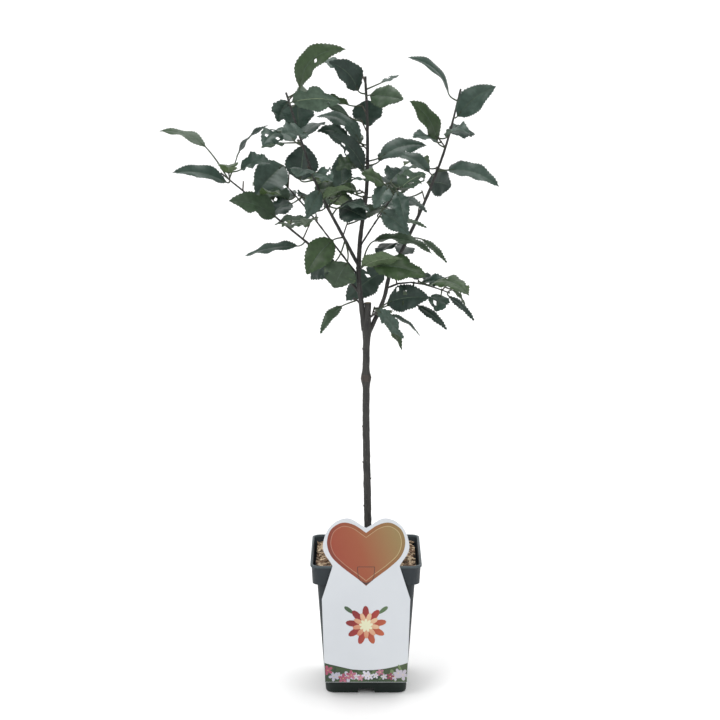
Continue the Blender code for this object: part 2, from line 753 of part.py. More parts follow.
def grow(mass, parts, cutters, carriers):
    """Joins a mass's stem, twigs and leaves into one solid."""
    points, radii = mass.stem
    joined = new_collection(mass.name + "_pieces")
    for i, (way, thick) in enumerate(mass.twigs):
        tube(mass.name + "_twig_%d" % i, way, thick, joined, resolution=0)
    for i, leaf in enumerate(mass.leaves):
        leaf_object(mass.name + "_leaf_%d" % i, leaf, joined)
    obj = tube(mass.name, points, radii, parts)
    boolean(obj, "UNION", collection=joined)
    made = baked(obj, parts, "leaf")
    for piece in list(joined.objects):
        bpy.data.objects.remove(piece, do_unlink=True)
    bpy.data.collections.remove(joined)
    if mass.name in SHOOTS:
        seated(made, carriers[SHOOTS[mass.name][3]], parts, cutters)


def main():
    clear_scene()
    parts = new_collection("potted_apple_tree")
    cutters = new_collection("cutters")
    pot(parts, cutters)
    soil(parts, cutters)
    card(parts)
    carriers = {"trunk": trunk(parts)}
    for name in LIMBS:
        limb(name, parts, cutters, carriers)
    for mass in plan_crown(carriers):
        grow(mass, parts, cutters, carriers)
    for cutter in cutters.objects:
        cutter.hide_render = True
        cutter.display_type = "WIRE"


main()
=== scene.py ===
"""The looks of a young apple tree in a square nursery pot, with its card.

Metres, +Z up. The crown grows by the same rule as the solids, with finer leaves and twigs.
"""

import math
import random

import bmesh
import bpy
from mathutils import Matrix, Vector, noise
from mathutils.bvhtree import BVHTree


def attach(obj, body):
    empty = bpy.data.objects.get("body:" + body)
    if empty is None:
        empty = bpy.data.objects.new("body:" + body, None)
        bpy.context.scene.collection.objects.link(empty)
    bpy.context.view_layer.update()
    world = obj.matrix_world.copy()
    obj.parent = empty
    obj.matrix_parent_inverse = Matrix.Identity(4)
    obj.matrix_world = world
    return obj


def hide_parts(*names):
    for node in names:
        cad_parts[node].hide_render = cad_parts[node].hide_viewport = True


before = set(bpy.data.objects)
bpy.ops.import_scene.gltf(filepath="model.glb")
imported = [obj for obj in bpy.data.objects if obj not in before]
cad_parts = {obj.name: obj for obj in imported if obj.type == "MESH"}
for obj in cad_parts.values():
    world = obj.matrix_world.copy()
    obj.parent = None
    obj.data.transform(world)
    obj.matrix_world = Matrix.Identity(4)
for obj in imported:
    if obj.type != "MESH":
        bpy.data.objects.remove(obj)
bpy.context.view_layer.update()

MM = 0.001
GAP = 0.0003                     # clear space between neighbouring pieces

# Pot: a tapering square body, a collar that steps out of it, and a thin lip
POT_HEIGHT = 0.229
FOOT_WIDTH = 0.1345
BODY_TOP_WIDTH = 0.162
COLLAR_HEIGHT = 0.033
COLLAR_LOW_WIDTH = 0.177
COLLAR_TOP_WIDTH = 0.1808
LIP_WIDTH = 0.184
LIP_HEIGHT = 0.0035
CORNER = 0.015                   # radius of the upright corners
WALL = 0.002
FLOOR = 0.011                    # the moulded floor, which the drain notches run into
NOTCH_LOW_WIDTH = 0.030
NOTCH_TOP_WIDTH = 0.0245
NOTCH_HEIGHT = 0.008
NOTCH_DEPTH = 0.040
SOIL_TOP = 0.216

# Card: a heart on a skirt that stands in front of the rim
CARD_THICK = 0.001
CARD_FOOT = 0.029
CARD_FOOT_HALF = 0.0683
CARD_SHOULDER = (0.0727, 0.173)
CARD_WAIST = (0.0549, 0.230)
CARD_WIDEST = (0.0706, 0.2664)
CARD_LOBE = (0.0375, 0.3106)
CARD_CLEFT = (0.0, 0.2951)

# Where the plant is looked at from: a limb or leaf is measured in this view, on the upright
# plane through the pot's middle, and then set back or forward along the line of sight
EYE = Vector((-0.010, -3.20, 1.216))
FRONT = Vector((0, -1, 0))
UP = Vector((0, 0, 1))

# Trunk: its way as seen (x, z, depth) in mm, its radius, and where it swells
TRUNK_WAY = [(3, 216, 0), (3, 287, 0), (0.5, 420, 0), (0, 520, 0), (1, 600, 0), (3, 652, 0)]
TRUNK_RADIUS = 0.0064
STUB_RADIUS = 0.0057
TRUNK_RING = 0.010               # from one section of a limb to the next: trunk, boughs, stems
LIMB_RING = 0.012
STEM_RING = 0.018
ROOT_FLARE = (0.216, 0.0050, 0.014)          # height, extra radius, reach
GRAFT = (0.5256, 0.0028, 0.009)
FORK = (0.607, 0.0020, 0.016)
SWELLINGS = (ROOT_FLARE, GRAFT, FORK)

# Limbs: the way from foot to tip in mm, the radii at both, how much of it is bare, the carrier
LIMBS = {
    "leader": ([(-3, 606, 0), (-8, 652, 0), (-12.5, 700, 0), (-9, 765, 2), (1, 841, 4),
                (2, 940, 8), (-1.5, 1021, 10)], 4.6, 2.0, 0.45, "trunk"),
    "bough_left_front": ([(-12, 713, 0), (-46, 778, -25), (-78, 840, -50), (-103, 912, -75),
                          (-129, 995, -95)], 2.9, 1.5, 0.125, "leader"),
    "bough_left_low": ([(-10, 667, 0), (-37, 700, 6), (-87, 744, 16), (-149, 795, 30),
                        (-236, 866, 48)], 2.3, 1.3, 0.37, "leader"),
    "bough_left_back": ([(-13, 697, 2), (-60, 759, 42), (-99, 810, 80), (-133, 849, 112)],
                        1.7, 1.2, 0.36, "leader"),
    "bough_right_back": ([(4, 600, 2), (29, 658, 12), (39, 698, 20), (72, 767, 38),
                          (102, 835, 55), (130, 913, 70), (152, 1001, 80)],
                         3.7, 1.6, 0.23, "trunk"),
    "bough_right_front": ([(-9, 747, -1), (9, 776, -30), (31, 809, -70), (57, 847, -108)],
                          1.7, 1.1, 0.58, "leader"),
}

SQUARE_END = 0.002               # the last of a bough and the first of its stem run in one line

# Short side shoots that carry leaves of their own: way, radii, carrier
SHOOTS = {
    "leaves_fork": ([(2, 625, 0), (12, 632, -5), (20, 637, -9)], 2.0, 1.4, "trunk"),
    "leaves_right_low": ([(33, 676, 14), (62, 686, 6), (98, 682, -6), (138, 668, -18)],
                         1.7, 1.1, "bough_right_back"),
    "leaves_centre": ([(-12, 706, 0), (-5, 713, -7), (1, 717, -12)], 1.9, 1.4, "leader"),
    "leaves_leader_foot": ([(-9, 650, 0), (-15, 656, 3), (-21, 660, 6)], 1.8, 1.4, "leader"),
}

CARRIED_ON = {
    "leaves_top": "leader",
    "leaves_left_front": "bough_left_front",
    "leaves_left_low": "bough_left_low",
    "leaves_left_back": "bough_left_back",
    "leaves_right_back": "bough_right_back",
    "leaves_right_front": "bough_right_front",
}

# Leaves that give each mass its outline. For each: its blade's base and tip as seen (x, z), the
# blade's length with - for a leaf that comes forward, its width, how far it arches (share of its
# length), and where its upper side faces (0 up, 90 front, 180 down)
LEAVES = {
    "leaves_top": [
        (-4, 870, -64, 929, -88, 36, 0.12, 45),
        (23, 891, 98, 910, 84, 36, 0.12, 45),
        (-10, 916, -81, 956, 90, 32, 0.22, 35),
        (1, 983, 6, 941, 54, 48, 0.03, 85),
        (-13, 998, -60, 1044, -72, 40, 0.12, 60),
        (6, 991, 60, 984, -66, 40, 0.03, 60),
        (25, 1011, 53, 1023, 36, 13, 0.01, 15),
    ],
    "leaves_left_front": [
        (-54, 756, -97, 699, -74, 44, 0.11, 70),
        (-31, 718, -52, 676, -56, 54, 0.07, 75),
        (-51, 720, -91, 691, 60, 38, 0.07, 60),
        (-43, 810, 0, 790, -62, 42, 0.06, 65),
        (-39, 835, -42, 897, 68, 33, 0.02, 85),
        (-69, 823, -21, 839, -58, 24, 0.10, -30),
        (-107, 854, -100, 912, 62, 52, 0.04, 85),
        (-75, 836, -97, 791, -54, 28, 0.06, 110),
        (-81, 866, -54, 851, -56, 28, 0.06, 60),
        (-97, 930, -136, 930, -56, 42, 0.04, 40),
        (-133, 914, -169, 906, 52, 30, 0.04, -20),
        (-140, 932, -167, 911, -56, 34, 0.09, 60),
        (-119, 980, -41, 980, -84, 46, 0.07, -60),
        (-110, 976, -108, 936, 54, 50, 0.03, 82),
        (-107, 1002, -32, 1064, -108, 38, 0.20, 62),
        (-125, 981, -142, 948, 48, 32, 0.06, 95),
    ],
    "leaves_left_low": [
        (-111, 746, -199, 729, 98, 26, 0.06, 30),
        (-148, 794, -224, 820, -92, 42, 0.10, 60),
        (-226, 850, -315, 866, -100, 30, 0.09, 45),
        (-213, 880, -158, 943, -90, 24, 0.11, 22),
        (-259, 907, -335, 933, 88, 26, 0.11, 20),
    ],
    "leaves_left_back": [
        (-127, 822, -166, 835, -58, 34, 0.07, -35),
        (-99, 787, -150, 780, -64, 30, 0.10, -30),
        (-135, 878, -180, 829, -82, 56, 0.05, 75),
        (-148, 875, -184, 890, 52, 22, 0.07, -25),
    ],
    "leaves_right_back": [
        (31, 705, -33, 655, 84, 46, 0.07, 80),
        (92, 757, 132, 718, -62, 13, 0.05, 25),
        (103, 866, 42, 898, 74, 28, 0.11, 30),
        (99, 851, 138, 844, 64, 44, 0.04, 85),
        (132, 870, 216, 843, -96, 34, 0.12, 40),
        (115, 916, 69, 982, -88, 36, 0.11, 45),
        (134, 932, 176, 928, 54, 34, 0.09, 40),
        (147, 957, 209, 1005, -86, 42, 0.08, 65),
        (133, 992, 66, 1051, -98, 36, 0.15, 28),
    ],
    "leaves_right_front": [
        (26, 803, 70, 765, -60, 32, 0.06, 80),
        (19, 794, 99, 776, -88, 17, 0.07, 30),
        (50, 823, 99, 801, -60, 16, 0.12, 25),
        (50, 835, 64, 778, -64, 24, 0.10, 65),
        (29, 848, -8, 864, -52, 30, 0.07, 50),
        (56, 842, 96, 865, -58, 40, 0.06, -50),
        (40, 852, 58, 870, 46, 40, 0.04, 75),
        (36, 842, 13, 808, -50, 30, 0.07, 65),
    ],
    "leaves_right_low": [
        (84, 648, 133, 607, -72, 17, 0.06, 35),
        (90, 685, 142, 680, -62, 26, 0.11, 40),
        (123, 665, 115, 637, -44, 34, 0.05, 70),
        (142, 673, 164, 643, 48, 12, 0.07, 40),
        (136, 663, 178, 622, -62, 12, 0.07, 35),
    ],
    "leaves_fork": [
        (35, 652, 105, 660, -84, 44, 0.06, 70),
        (27, 625, 59, 573, 66, 21, 0.07, 40),
        (39, 632, 89, 596, 66, 13, 0.09, 25),
        (19, 640, 62, 592, -72, 24, 0.09, 110),
    ],
    "leaves_centre": [
        (12, 712, 99, 695, -96, 44, 0.09, 55),
        (-7, 713, 60, 725, -74, 34, 0.06, -50),
        (9, 752, 108, 733, -112, 28, 0.14, 25),
    ],
    "leaves_leader_foot": [
        (-39, 647, -75, 600, -68, 17, 0.12, 32),
    ],
}

# The rule for the side twigs that fill each mass towards its back and front
TWIGS = {
    "leaves_top": 9, "leaves_left_front": 7, "leaves_left_low": 6, "leaves_left_back": 5,
    "leaves_right_back": 8, "leaves_right_front": 3, "leaves_right_low": 3, "leaves_fork": 1,
    "leaves_centre": 1, "leaves_leader_foot": 1,
}
SEED = 11
TWIG_LENGTH = (0.022, 0.040)
TWIG_RADIUS = 0.0011
TWIG_SPREAD = 30                 # degrees to either side of straight forward or straight back
TWIG_LEAVES = 3
TWIG_SINK = 0.9                  # where along the twig its end leaves start
STEM_SPOTS = 97                  # places along a stem where a leaf may start
TIP_SPOTS = 3                    # how many of them at the tip stay free
STEM_CLEAR = 0.009               # how far up the stem the first leaf starts
SHADE = 0.016                    # how far from an outline leaf's rib a filling leaf may be seen
FILL_LENGTH = (0.070, 0.092)
FILL_RATIO = (0.36, 0.46)        # width to length
SHIFTS = (0, -10, 10, -20, 20, -32, 32, -46, 46)     # mm along the line of sight
TURNS = (0, 25, -25)             # degrees

# Leaf: a petiole and a pointed blade, folded a little along its rib
PETIOLE = 0.022                  # least length; a blade that starts farther off has a longer one
PETIOLE_SPARE = 1.14             # its length, to the way that it has to go in the view
PETIOLE_DROP = 0.35              # how far down the stem it starts, to its length
PETIOLE_HALF = 0.0010
PETIOLE_MIDDLE = 0.55            # where along it it bends most
PETIOLE_BEND = 0.12              # how far its middle stands off the straight line, to its length
BLADE = ((0.0, 0.06), (0.12, 0.60), (0.34, 1.0), (0.60, 0.88), (0.82, 0.46))
FOLD = math.radians(14)
BOW_SHARE = 0.4                  # how far the arch turns with the upper side
LEAST_THICK = 0.0011
THICK_SHARE = 1 / 85
CLEAR = 0.0012                   # kept free round a leaf while the crown grows

# Camera: the photograph's viewing angle
AIM = Vector((-0.010, 0.0, 0.556))
LENS = 98.85
SENSOR = 36

CURVE_STEPS = 12                 # points to each stretch of a limb's curve
TUBE_SIDES = 6                   # of the rough tubes that leaves are kept clear of
TUBE_SPARE = 1.15
LEAST_ACROSS = 0.2               # a wished direction nearer than this to the leaf's run is no use

# Fine leaf
OUTLINE = list(BLADE) + [(0.93, 0.19), (1.0, 0.0)]
TOOTH = 0.0050                   # from one tooth of the margin to the next
TOOTH_HIGH = 0.0019
ACROSS = (-1.0, -0.86, -0.55, -0.22, -0.03, 0.03, 0.22, 0.55, 0.86, 1.0)
SHEET = 0.00035                  # thickness of a blade
VEINS = 8                        # side veins to either hand of the rib
VEIN_DEEP = 0.00045
VEIN_WIDE = 0.0016
WAVE = 0.0030                    # how far the margin waves up and down
BITES = 0.45                     # share of leaves with a ragged stretch of margin
HOLED = 0.22                     # share of leaves with holes

RIB_WIDE = 0.09                  # share of the half width that the rib takes up
TOOTHED = (0.04, 0.97)           # stretch of the margin that has teeth
RIB_END = 0.9                    # where along the blade the rib's own colour ends
STALK_THICK = 0.0015             # a stalk's radius at its foot, and how much it loses
STALK_TAPER = 0.0006

# Bark relief
RING = 0.0028                    # from one ring of points to the next
LIMB_SIDES = 18
BARK_ROUGH = 0.00035

# Mulch
CHIPS = 1500
BED_CELLS = 24                   # to each side of the uneven bed under the chips
BED_EDGE = 0.006                 # from the collar's inside to the bed's edge
TRUNK_ROOM = 0.013               # kept free of chips round the trunk
CHIP_LONG = (0.009, 0.028)
CHIP_WIDE = (0.0020, 0.0052)
CHIP_THICK = (0.0012, 0.0032)

# Buds on the trunk, as (height, side)
TRUNK_BUDS = ((0.5745, -1), (0.442, -1), (0.381, -1), (0.306, -1), (0.354, 1))

FOOT_ROUND = 0.0035              # rounding of the pot's bottom edge
EDGE_ROUND = 0.0007              # and of its other edges

# The card's print: one side of the heart between its two sharp points, as (x, z)
HEART_TIP = (0.0, 0.1962)
HEART_CLEFT = (0.0, 0.2868)
HEART_SIDE = ((0.0140, 0.2085), (0.0400, 0.2290), (0.0575, 0.2475), (0.0640, 0.2690),
              (0.0590, 0.2900), (0.0460, 0.3015), (0.0330, 0.3042), (0.0170, 0.2990))
HEART_INSET = 0.0062
LINE_WIDE = 0.0010
ROSETTE = (0.0, 0.128)           # its middle (x, z)
PETALS = 9
PETAL_LONG = 0.034
# For each ring of petals: its piece, a turn, and the petals' length and width to the longest
PETAL_RINGS = (("card_petals", 0, 1, 0.42), ("card_petals_inner", 0.35, 0.66, 0.30),
               ("card_petals_core", 0, 0.34, 0.18))
STRIP_MIDDLE = 0.0500            # the strip's upper edge in the middle of the card
STRIP_SAG = 0.0130
STRIP_FLOWERS = 17
STRIP_EDGE = 0.0004              # from the card's foot to the strip
TONGUE = [(0.0, 0.2288), (0.0140, 0.2288), (0.0140, 0.2230), (0.0128, 0.2130), (0.0098, 0.2050)]
# The dark crescent in the gap under the tongue's tip, and the slit's dark lines, SLIT_HALF to either
# hand, are painted shadow
CRESCENT = [(-0.0100, 0.2056), (0.0, 0.1975), (0.0100, 0.2056), (0.0, 0.2012)]
SLIT_HALF = 0.00045

# For each printed piece: how far it stands before the card, its material's name, its colours
# (place, red, green, blue) along a run, and the run's direction, middle and reach, and the grain
PRINTS = {
    "card_heart": (0.00006, "print_heart", (
        (0.0, 112, 44, 32), (0.3, 134, 62, 38), (0.62, 138, 84, 46), (1.0, 132, 108, 66)),
        (1, 0, 0.32), (0, 0, 0.25), 0.135),
    "card_heart_line": (0.00016, "print_line", ((0.0, 170, 118, 98), (1.0, 176, 160, 116))),
    "card_heart_middle": (0.0001, "print_middle", (
        (0.0, 142, 58, 38), (0.45, 146, 76, 46), (1.0, 138, 116, 72)),
        (1, 0, 0.35), (0, 0, 0.25), 0.118),
    "card_sprigs": (0.00008, "print_leaf", ((0.0, 52, 74, 50), (1.0, 86, 110, 74))),
    "card_petals": (0.00016, "print_red", (
        (0.0, 122, 30, 32), (0.5, 146, 42, 38), (1.0, 168, 82, 52)),
        (1, 0, -0.6), (ROSETTE[0], 0, ROSETTE[1]), 0.05),
    "card_petals_inner": (0.00024, "print_blush", ((0.0, 188, 122, 94), (1.0, 210, 180, 146)),
                          (1, 0, 1), (ROSETTE[0], 0, ROSETTE[1]), 0.04),
    "card_petals_core": (0.00032, "print_cream", ((0.0, 204, 206, 168), (1.0, 218, 216, 190))),
    "card_strip": (0.00006, "print_green", (
        (0.0, 40, 56, 36), (0.35, 62, 84, 50), (0.6, 44, 66, 42), (1.0, 74, 90, 58)),
        (1, 0, 0.5), (0, 0, 0.04), 0.15, 0.3),
    "card_strip_leaves": (0.00009, "print_dark_green", ((0.0, 36, 58, 38), (1.0, 104, 124, 82))),
    "card_strip_white": (0.00015, "print_white", (
        (0.0, 170, 168, 182), (0.5, 204, 202, 212), (1.0, 178, 172, 184)),
        (1, 0, 1), (0, 0, 0.04), 0.06),
    "card_strip_pink": (0.0002, "print_pink", (
        (0.0, 152, 72, 94), (0.5, 190, 134, 154), (1.0, 128, 58, 78)),
        (1, 0, -1), (0, 0, 0.04), 0.05),
    "card_strip_hearts": (0.00026, "print_yellow", ((0.0, 178, 164, 92), (1.0, 206, 190, 120))),
    # painted shadow in the tongue's slit and in the gap at its tip, not print
    "card_slit_painted_shadow": (0.0002, "slit_shadow", ((0.0, 46, 34, 32), (1.0, 72, 52, 44))),
}

# Leaf colours, upper and lower side by side, and how often each comes
UPPERS = ((46, 65, 56), (33, 50, 43), (54, 72, 52), (48, 68, 39), (56, 74, 65))
UNDERS = ((69, 87, 72), (64, 82, 66), (74, 92, 62), (67, 87, 48), (75, 91, 78))
LEAF_WEIGHTS = (4, 3, 2, 2, 2)
RIB_UPPER = 2 * len(UPPERS)
RIB_UNDER = RIB_UPPER + 1
CHIP_COLOURS = ((170, 148, 122), (132, 110, 88), (92, 76, 62), (196, 176, 148), (118, 92, 72))

WORLD_LIGHT = 0.62
# Lamps: name, place, what they aim at, size and power
LIGHTS = (
    ("key", (-2.2, -3.0, 3.6), (0, 0, 0.6), 2.2, 88),
    ("fill", (2.6, -2.4, 2.2), (0, 0, 0.6), 2.6, 26),
    ("top", (0.2, 0.6, 3.8), (0, 0, 0.6), 2.4, 50),
    ("backdrop", (0, 0.9, 4.6), (0, 4.0, 2.2), 2.0, 60),
)
FLOOR_NEAR = -6.0
FLOOR_FAR = 2.4                  # where the floor starts to curve up
FLOOR_HALF = 8
SWEEP = 1.6                      # radius of the curve
WALL_TOP = 6.0


def evaluated_mesh(obj):
    """The object's mesh with its modifiers, or its bevel, applied and its caps welded."""
    bpy.context.view_layer.update()
    depsgraph = bpy.context.evaluated_depsgraph_get()
    mesh = bpy.data.meshes.new_from_object(obj.evaluated_get(depsgraph))
    bm = bmesh.new()
    bm.from_mesh(mesh)
    bmesh.ops.remove_doubles(bm, verts=bm.verts, dist=1e-6)
    bm.to_mesh(mesh)
    bm.free()
    return mesh


def bell(value, middle, reach):
    """1 at the middle, falling off smoothly to either side."""
    return math.exp(-((value - middle) / reach) ** 2)


def body_width(height):
    """The pot body's outer width at a height, and the same taper carried on above it."""
    return FOOT_WIDTH + (BODY_TOP_WIDTH - FOOT_WIDTH) * height / (POT_HEIGHT - COLLAR_HEIGHT)


def seen(x, z, depth=0.0):
    """The point seen at x, z on the middle plane, at a depth behind that plane (all in mm)."""
    flat = Vector((x * MM, 0, z * MM))
    return flat + (flat - EYE) * (depth * MM / -EYE.y)


def curve_through(points, steps):
    """A Catmull-Rom curve through all points but the first and the last."""
    dense = []
    for a, b, c, d in zip(points, points[1:], points[2:], points[3:]):
        for i in range(steps):
            t = i / steps
            dense.append(0.5 * (2 * b + (c - a) * t + (2 * a - 5 * b + 4 * c - d) * t ** 2
                                + (3 * b - a - 3 * c + d) * t ** 3))
    dense.append(points[-2])
    return dense


def smooth_way(way):
    """A smooth curve through a way's points, carried on straight at both ends."""
    points = [seen(*p) for p in way]
    points = [points[0] * 2 - points[1]] + points + [points[-1] * 2 - points[-2]]
    return curve_through(points, CURVE_STEPS)


def way_length(way):
    return sum((b - a).length for a, b in zip(way, way[1:]))


def point_on(way, share):
    """The point at a share, 0 to 1, of the way's length."""
    left = share * way_length(way)
    for a, b in zip(way, way[1:]):
        step = (b - a).length
        if left <= step:
            return a.lerp(b, left / step)
        left -= step
    return way[-1].copy()


def stretch(way, start, end, count):
    """Points an even step apart between two shares of a way."""
    return [point_on(way, start + (end - start) * i / (count - 1)) for i in range(count)]


def trunk_radius(height):
    top = TRUNK_WAY[-1][1] * MM
    foot = TRUNK_WAY[0][1] * MM
    radius = TRUNK_RADIUS + (STUB_RADIUS - TRUNK_RADIUS) * (height - foot) / (top - foot)
    for centre, extra, reach in SWELLINGS:
        radius += extra * bell(height, centre, reach)
    return radius


def square_to(way, share, step):
    """Where a way passes a share of its length, and a point a step on along its run there."""
    here = point_on(way, share)
    run = (point_on(way, share + 0.01) - point_on(way, share - 0.01)).normalized()
    return here, here + run * step


def taper(thick, thin, start, end, count):
    """Radii in metres between two shares of a limb, from its radii at foot and tip in mm."""
    shares = [start + (end - start) * i / (count - 1) for i in range(count)]
    return [(thick + (thin - thick) * share) * MM for share in shares]


def facing_normal(facing, tangent):
    """The upper side's direction, square to the leaf's run: 0 up, 90 front, 180 down."""
    angle = math.radians(facing)
    wish = UP * math.cos(angle) + FRONT * math.sin(angle)
    normal = wish - tangent * wish.dot(tangent)
    if normal.length < LEAST_ACROSS:
        normal = tangent.orthogonal()
    return normal.normalized()


def leaf_frame(base, tip, arch, facing):
    """A blade's chord, the direction of its upper side, and how it bows."""
    chord = tip - base
    along = chord.normalized()
    bow = facing_normal(facing * BOW_SHARE, along) * (arch * chord.length)
    return chord, facing_normal(facing, along), bow


def rib_at(base, chord, bow, share):
    """The rib's point and direction at a share of the blade's length."""
    return base + chord * share + bow * (4 * share * (1 - share)), chord + bow * (4 * (1 - 2 * share))


def side_and_up(tangent, normal):
    side = tangent.cross(normal).normalized()
    return side, side.cross(tangent).normalized()


def leaf_rings(root, base, tip, width, arch, facing, fat=0.0):
    """The leaf's sections from its petiole's foot to near its tip, each of four points."""
    stalk = base - root
    chord, normal, bow = leaf_frame(base, tip, arch, facing)
    half_thick = max(LEAST_THICK, chord.length * THICK_SHARE) / 2
    first = chord + bow * 4
    swing = (stalk - first.normalized() * stalk.length) * PETIOLE_BEND
    stations = [(root, stalk, PETIOLE_HALF, PETIOLE_HALF, 0),
                (root.lerp(base, PETIOLE_MIDDLE) + swing, stalk, PETIOLE_HALF, PETIOLE_HALF, 0)]
    for share, wide in BLADE:
        half = max(width / 2 * wide, PETIOLE_HALF)
        thick = max(half_thick, PETIOLE_HALF * (1 - 4 * share))
        centre, tangent = rib_at(base, chord, bow, share)
        stations.append((centre, tangent, half, thick, FOLD if share else 0))
    rings = []
    for centre, tangent, half, thick, fold in stations:
        side, up = side_and_up(tangent, normal)
        out = side * ((half + fat) * math.cos(fold))
        lift = up * (half * math.sin(fold))
        rings.append([centre - out + lift, centre + up * (thick + fat),
                      centre + out + lift, centre - up * (thick + fat)])
    return rings


def loft_faces(count, sides):
    """The faces between neighbouring rings of points."""
    faces = []
    for i in range(count - 1):
        for k in range(sides):
            a = i * sides + k
            b = i * sides + (k + 1) % sides
            faces.append((a, b, b + sides, a + sides))
    return faces


def leaf_faces(rings, tip):
    """The points and faces of a closed leaf: a loft over its sections, run out to a point."""
    verts = [point for ring in rings for point in ring] + [tip]
    last = len(verts) - 1
    faces = [(3, 2, 1, 0)] + loft_faces(len(rings), 4)
    for k in range(4):
        faces.append((last - 4 + k, last - 4 + (k + 1) % 4, last))
    return verts, faces


def run_at(points, i):
    """The direction of a line of points at one of them."""
    return (points[min(i + 1, len(points) - 1)] - points[max(i - 1, 0)]).normalized()


def spokes(across, other, sides):
    """Directions an even turn apart, all round."""
    turns = [2 * math.pi * k / sides for k in range(sides)]
    return [across * math.cos(turn) + other * math.sin(turn) for turn in turns]


def tube_tree(points, radii):
    """A search tree over a limb's surface, as a rough tube."""
    verts = []
    for i, (point, radius) in enumerate(zip(points, radii)):
        run = run_at(points, i)
        across = run.orthogonal().normalized()
        for out in spokes(across, run.cross(across), TUBE_SIDES):
            verts.append(point + out * radius * TUBE_SPARE)
    return BVHTree.FromPolygons(verts, loft_faces(len(points), TUBE_SIDES))


def leaf_trees(leaf):
    """Search trees over a slightly fattened leaf: the whole of it, and its blade alone."""
    rings = leaf_rings(*leaf, fat=CLEAR)
    whole = BVHTree.FromPolygons(*leaf_faces(rings, leaf[2]))
    blade = BVHTree.FromPolygons(*leaf_faces(rings[3:], leaf[2]))
    return whole, blade


class Mass:
    """One mass of leaves: its stem, its side twigs and its leaves, kept clear of all others."""

    def __init__(self, name, points, radii):
        self.name = name
        self.stem = (points, radii)
        self.twigs = []
        self.leaves = []
        self.wood_trees = [tube_tree(points, radii)]
        self.whole_trees = []
        self.blade_trees = []

    def clear_of(self, leaf, others, limb_trees):
        whole, blade = leaf_trees(leaf)
        for tree in limb_trees:
            if whole.overlap(tree):
                return None
        for other in others:
            if other is self:
                continue
            for tree in other.wood_trees + other.whole_trees:
                if whole.overlap(tree):
                    return None
        for tree in self.wood_trees + self.blade_trees:
            if blade.overlap(tree):
                return None
        return whole, blade

    def add(self, leaf, others, limb_trees):
        """Keeps a leaf if it has a free place, moved a little along the line of sight if need be."""
        root, base, tip, width, arch, facing = leaf
        sight = (tip - EYE).normalized()
        for turn in TURNS:
            for shift in SHIFTS:
                moved = (root, base, tip + sight * (shift * MM), width, arch, facing + turn)
                trees = self.clear_of(moved, others, limb_trees)
                if trees:
                    self.leaves.append(moved)
                    self.whole_trees.append(trees[0])
                    self.blade_trees.append(trees[1])
                    return True
        return False


def on_plane(point):
    """Where a point is seen on the middle plane."""
    return EYE + (point - EYE) * (EYE.y / (EYE.y - point.y))


def set_off(start, x, z, length):
    """The point seen at x, z that lies a length from the start: behind it, or before it for -."""
    depth = start.y / MM
    across = (seen(x, z, depth) - start).length / MM
    reach = math.sqrt(max(length ** 2 - across ** 2, 0))
    return seen(x, z, depth + math.copysign(reach, length))


def outline_leaf(stem_points, row):
    """A leaf of the outline, from its row of measures."""
    x, z, tip_x, tip_z, length, width, arch, facing = row
    spots = [point_on(stem_points, i / STEM_SPOTS) for i in range(STEM_SPOTS + 1)]
    flat = seen(x, z)
    gaps = [(on_plane(spot) - flat).length for spot in spots]
    off = min(gaps)
    drop = round(off * PETIOLE_DROP / way_length(stem_points) * STEM_SPOTS)
    lowest = math.ceil(STEM_CLEAR / way_length(stem_points) * STEM_SPOTS)
    root = spots[min(max(gaps.index(off) - drop, lowest), STEM_SPOTS - TIP_SPOTS)]
    stalk = max(off * PETIOLE_SPARE, PETIOLE) / MM
    base = set_off(root, x, z, math.copysign(stalk, length))
    return root, base, set_off(base, tip_x, tip_z, length), width * MM, arch, facing


def rib_points(leaf):
    """Points along a leaf's rib as they are seen on the middle plane."""
    rings = leaf_rings(*leaf)
    return [on_plane((ring[1] + ring[3]) / 2) for ring in rings[2:]] + [on_plane(leaf[2])]


def in_shade(leaf, shown):
    """Whether a leaf is seen only where outline leaves are, so that the crown's gaps stay open."""
    return all(min((point - rib).length for rib in shown) < SHADE for point in rib_points(leaf))


def heading(turn, rise):
    """The direction at a turn about the upright and a rise above the level."""
    return Vector((math.cos(turn) * math.cos(rise), math.sin(turn) * math.cos(rise), math.sin(rise)))


def fill_twigs(mass, rng, others, limb_trees, shown):
    """Side twigs that leave the stem to the back and the front in turn, each with its leaves."""
    points, _ = mass.stem
    count = TWIGS[mass.name]
    for i in range(count):
        share = (i + 0.5 + rng.uniform(-0.2, 0.2)) / count
        root = point_on(points, share)
        bearing = (90 if i % 2 == 0 else -90) + rng.uniform(-TWIG_SPREAD, TWIG_SPREAD)
        rise = math.radians(rng.uniform(15, 45))
        level = math.radians(bearing)
        end = root + heading(level, rise) * rng.uniform(*TWIG_LENGTH)
        way = [root, root.lerp(end, 0.5), end]
        thick = [TWIG_RADIUS * 1.2, TWIG_RADIUS * 1.1, TWIG_RADIUS]
        tree = tube_tree(way, thick)
        walls = limb_trees + mass.blade_trees
        for other in others:
            if other is not mass:
                walls = walls + other.wood_trees + other.whole_trees
        blocked = any(tree.overlap(wall) for wall in walls)
        leaves = []
        for k in range(TWIG_LEAVES):
            turn = level + math.radians((k - 1) * 62 + rng.uniform(-14, 14))
            run = heading(turn, math.radians(rng.uniform(-28, 22)))
            length = rng.uniform(*FILL_LENGTH)
            width = length * rng.uniform(*FILL_RATIO)
            start = way[1] if k == 1 else root.lerp(end, TWIG_SINK)
            leaves.append((start, start + run * PETIOLE, start + run * length, width,
                           rng.uniform(0.06, 0.2), rng.uniform(-25, 55)))
        leaves = [leaf for leaf in leaves if in_shade(leaf, shown)]
        if blocked or not leaves:
            continue
        mass.twigs.append((way, thick))
        mass.wood_trees.append(tree)
        for leaf in leaves:
            mass.add(leaf, others, limb_trees)


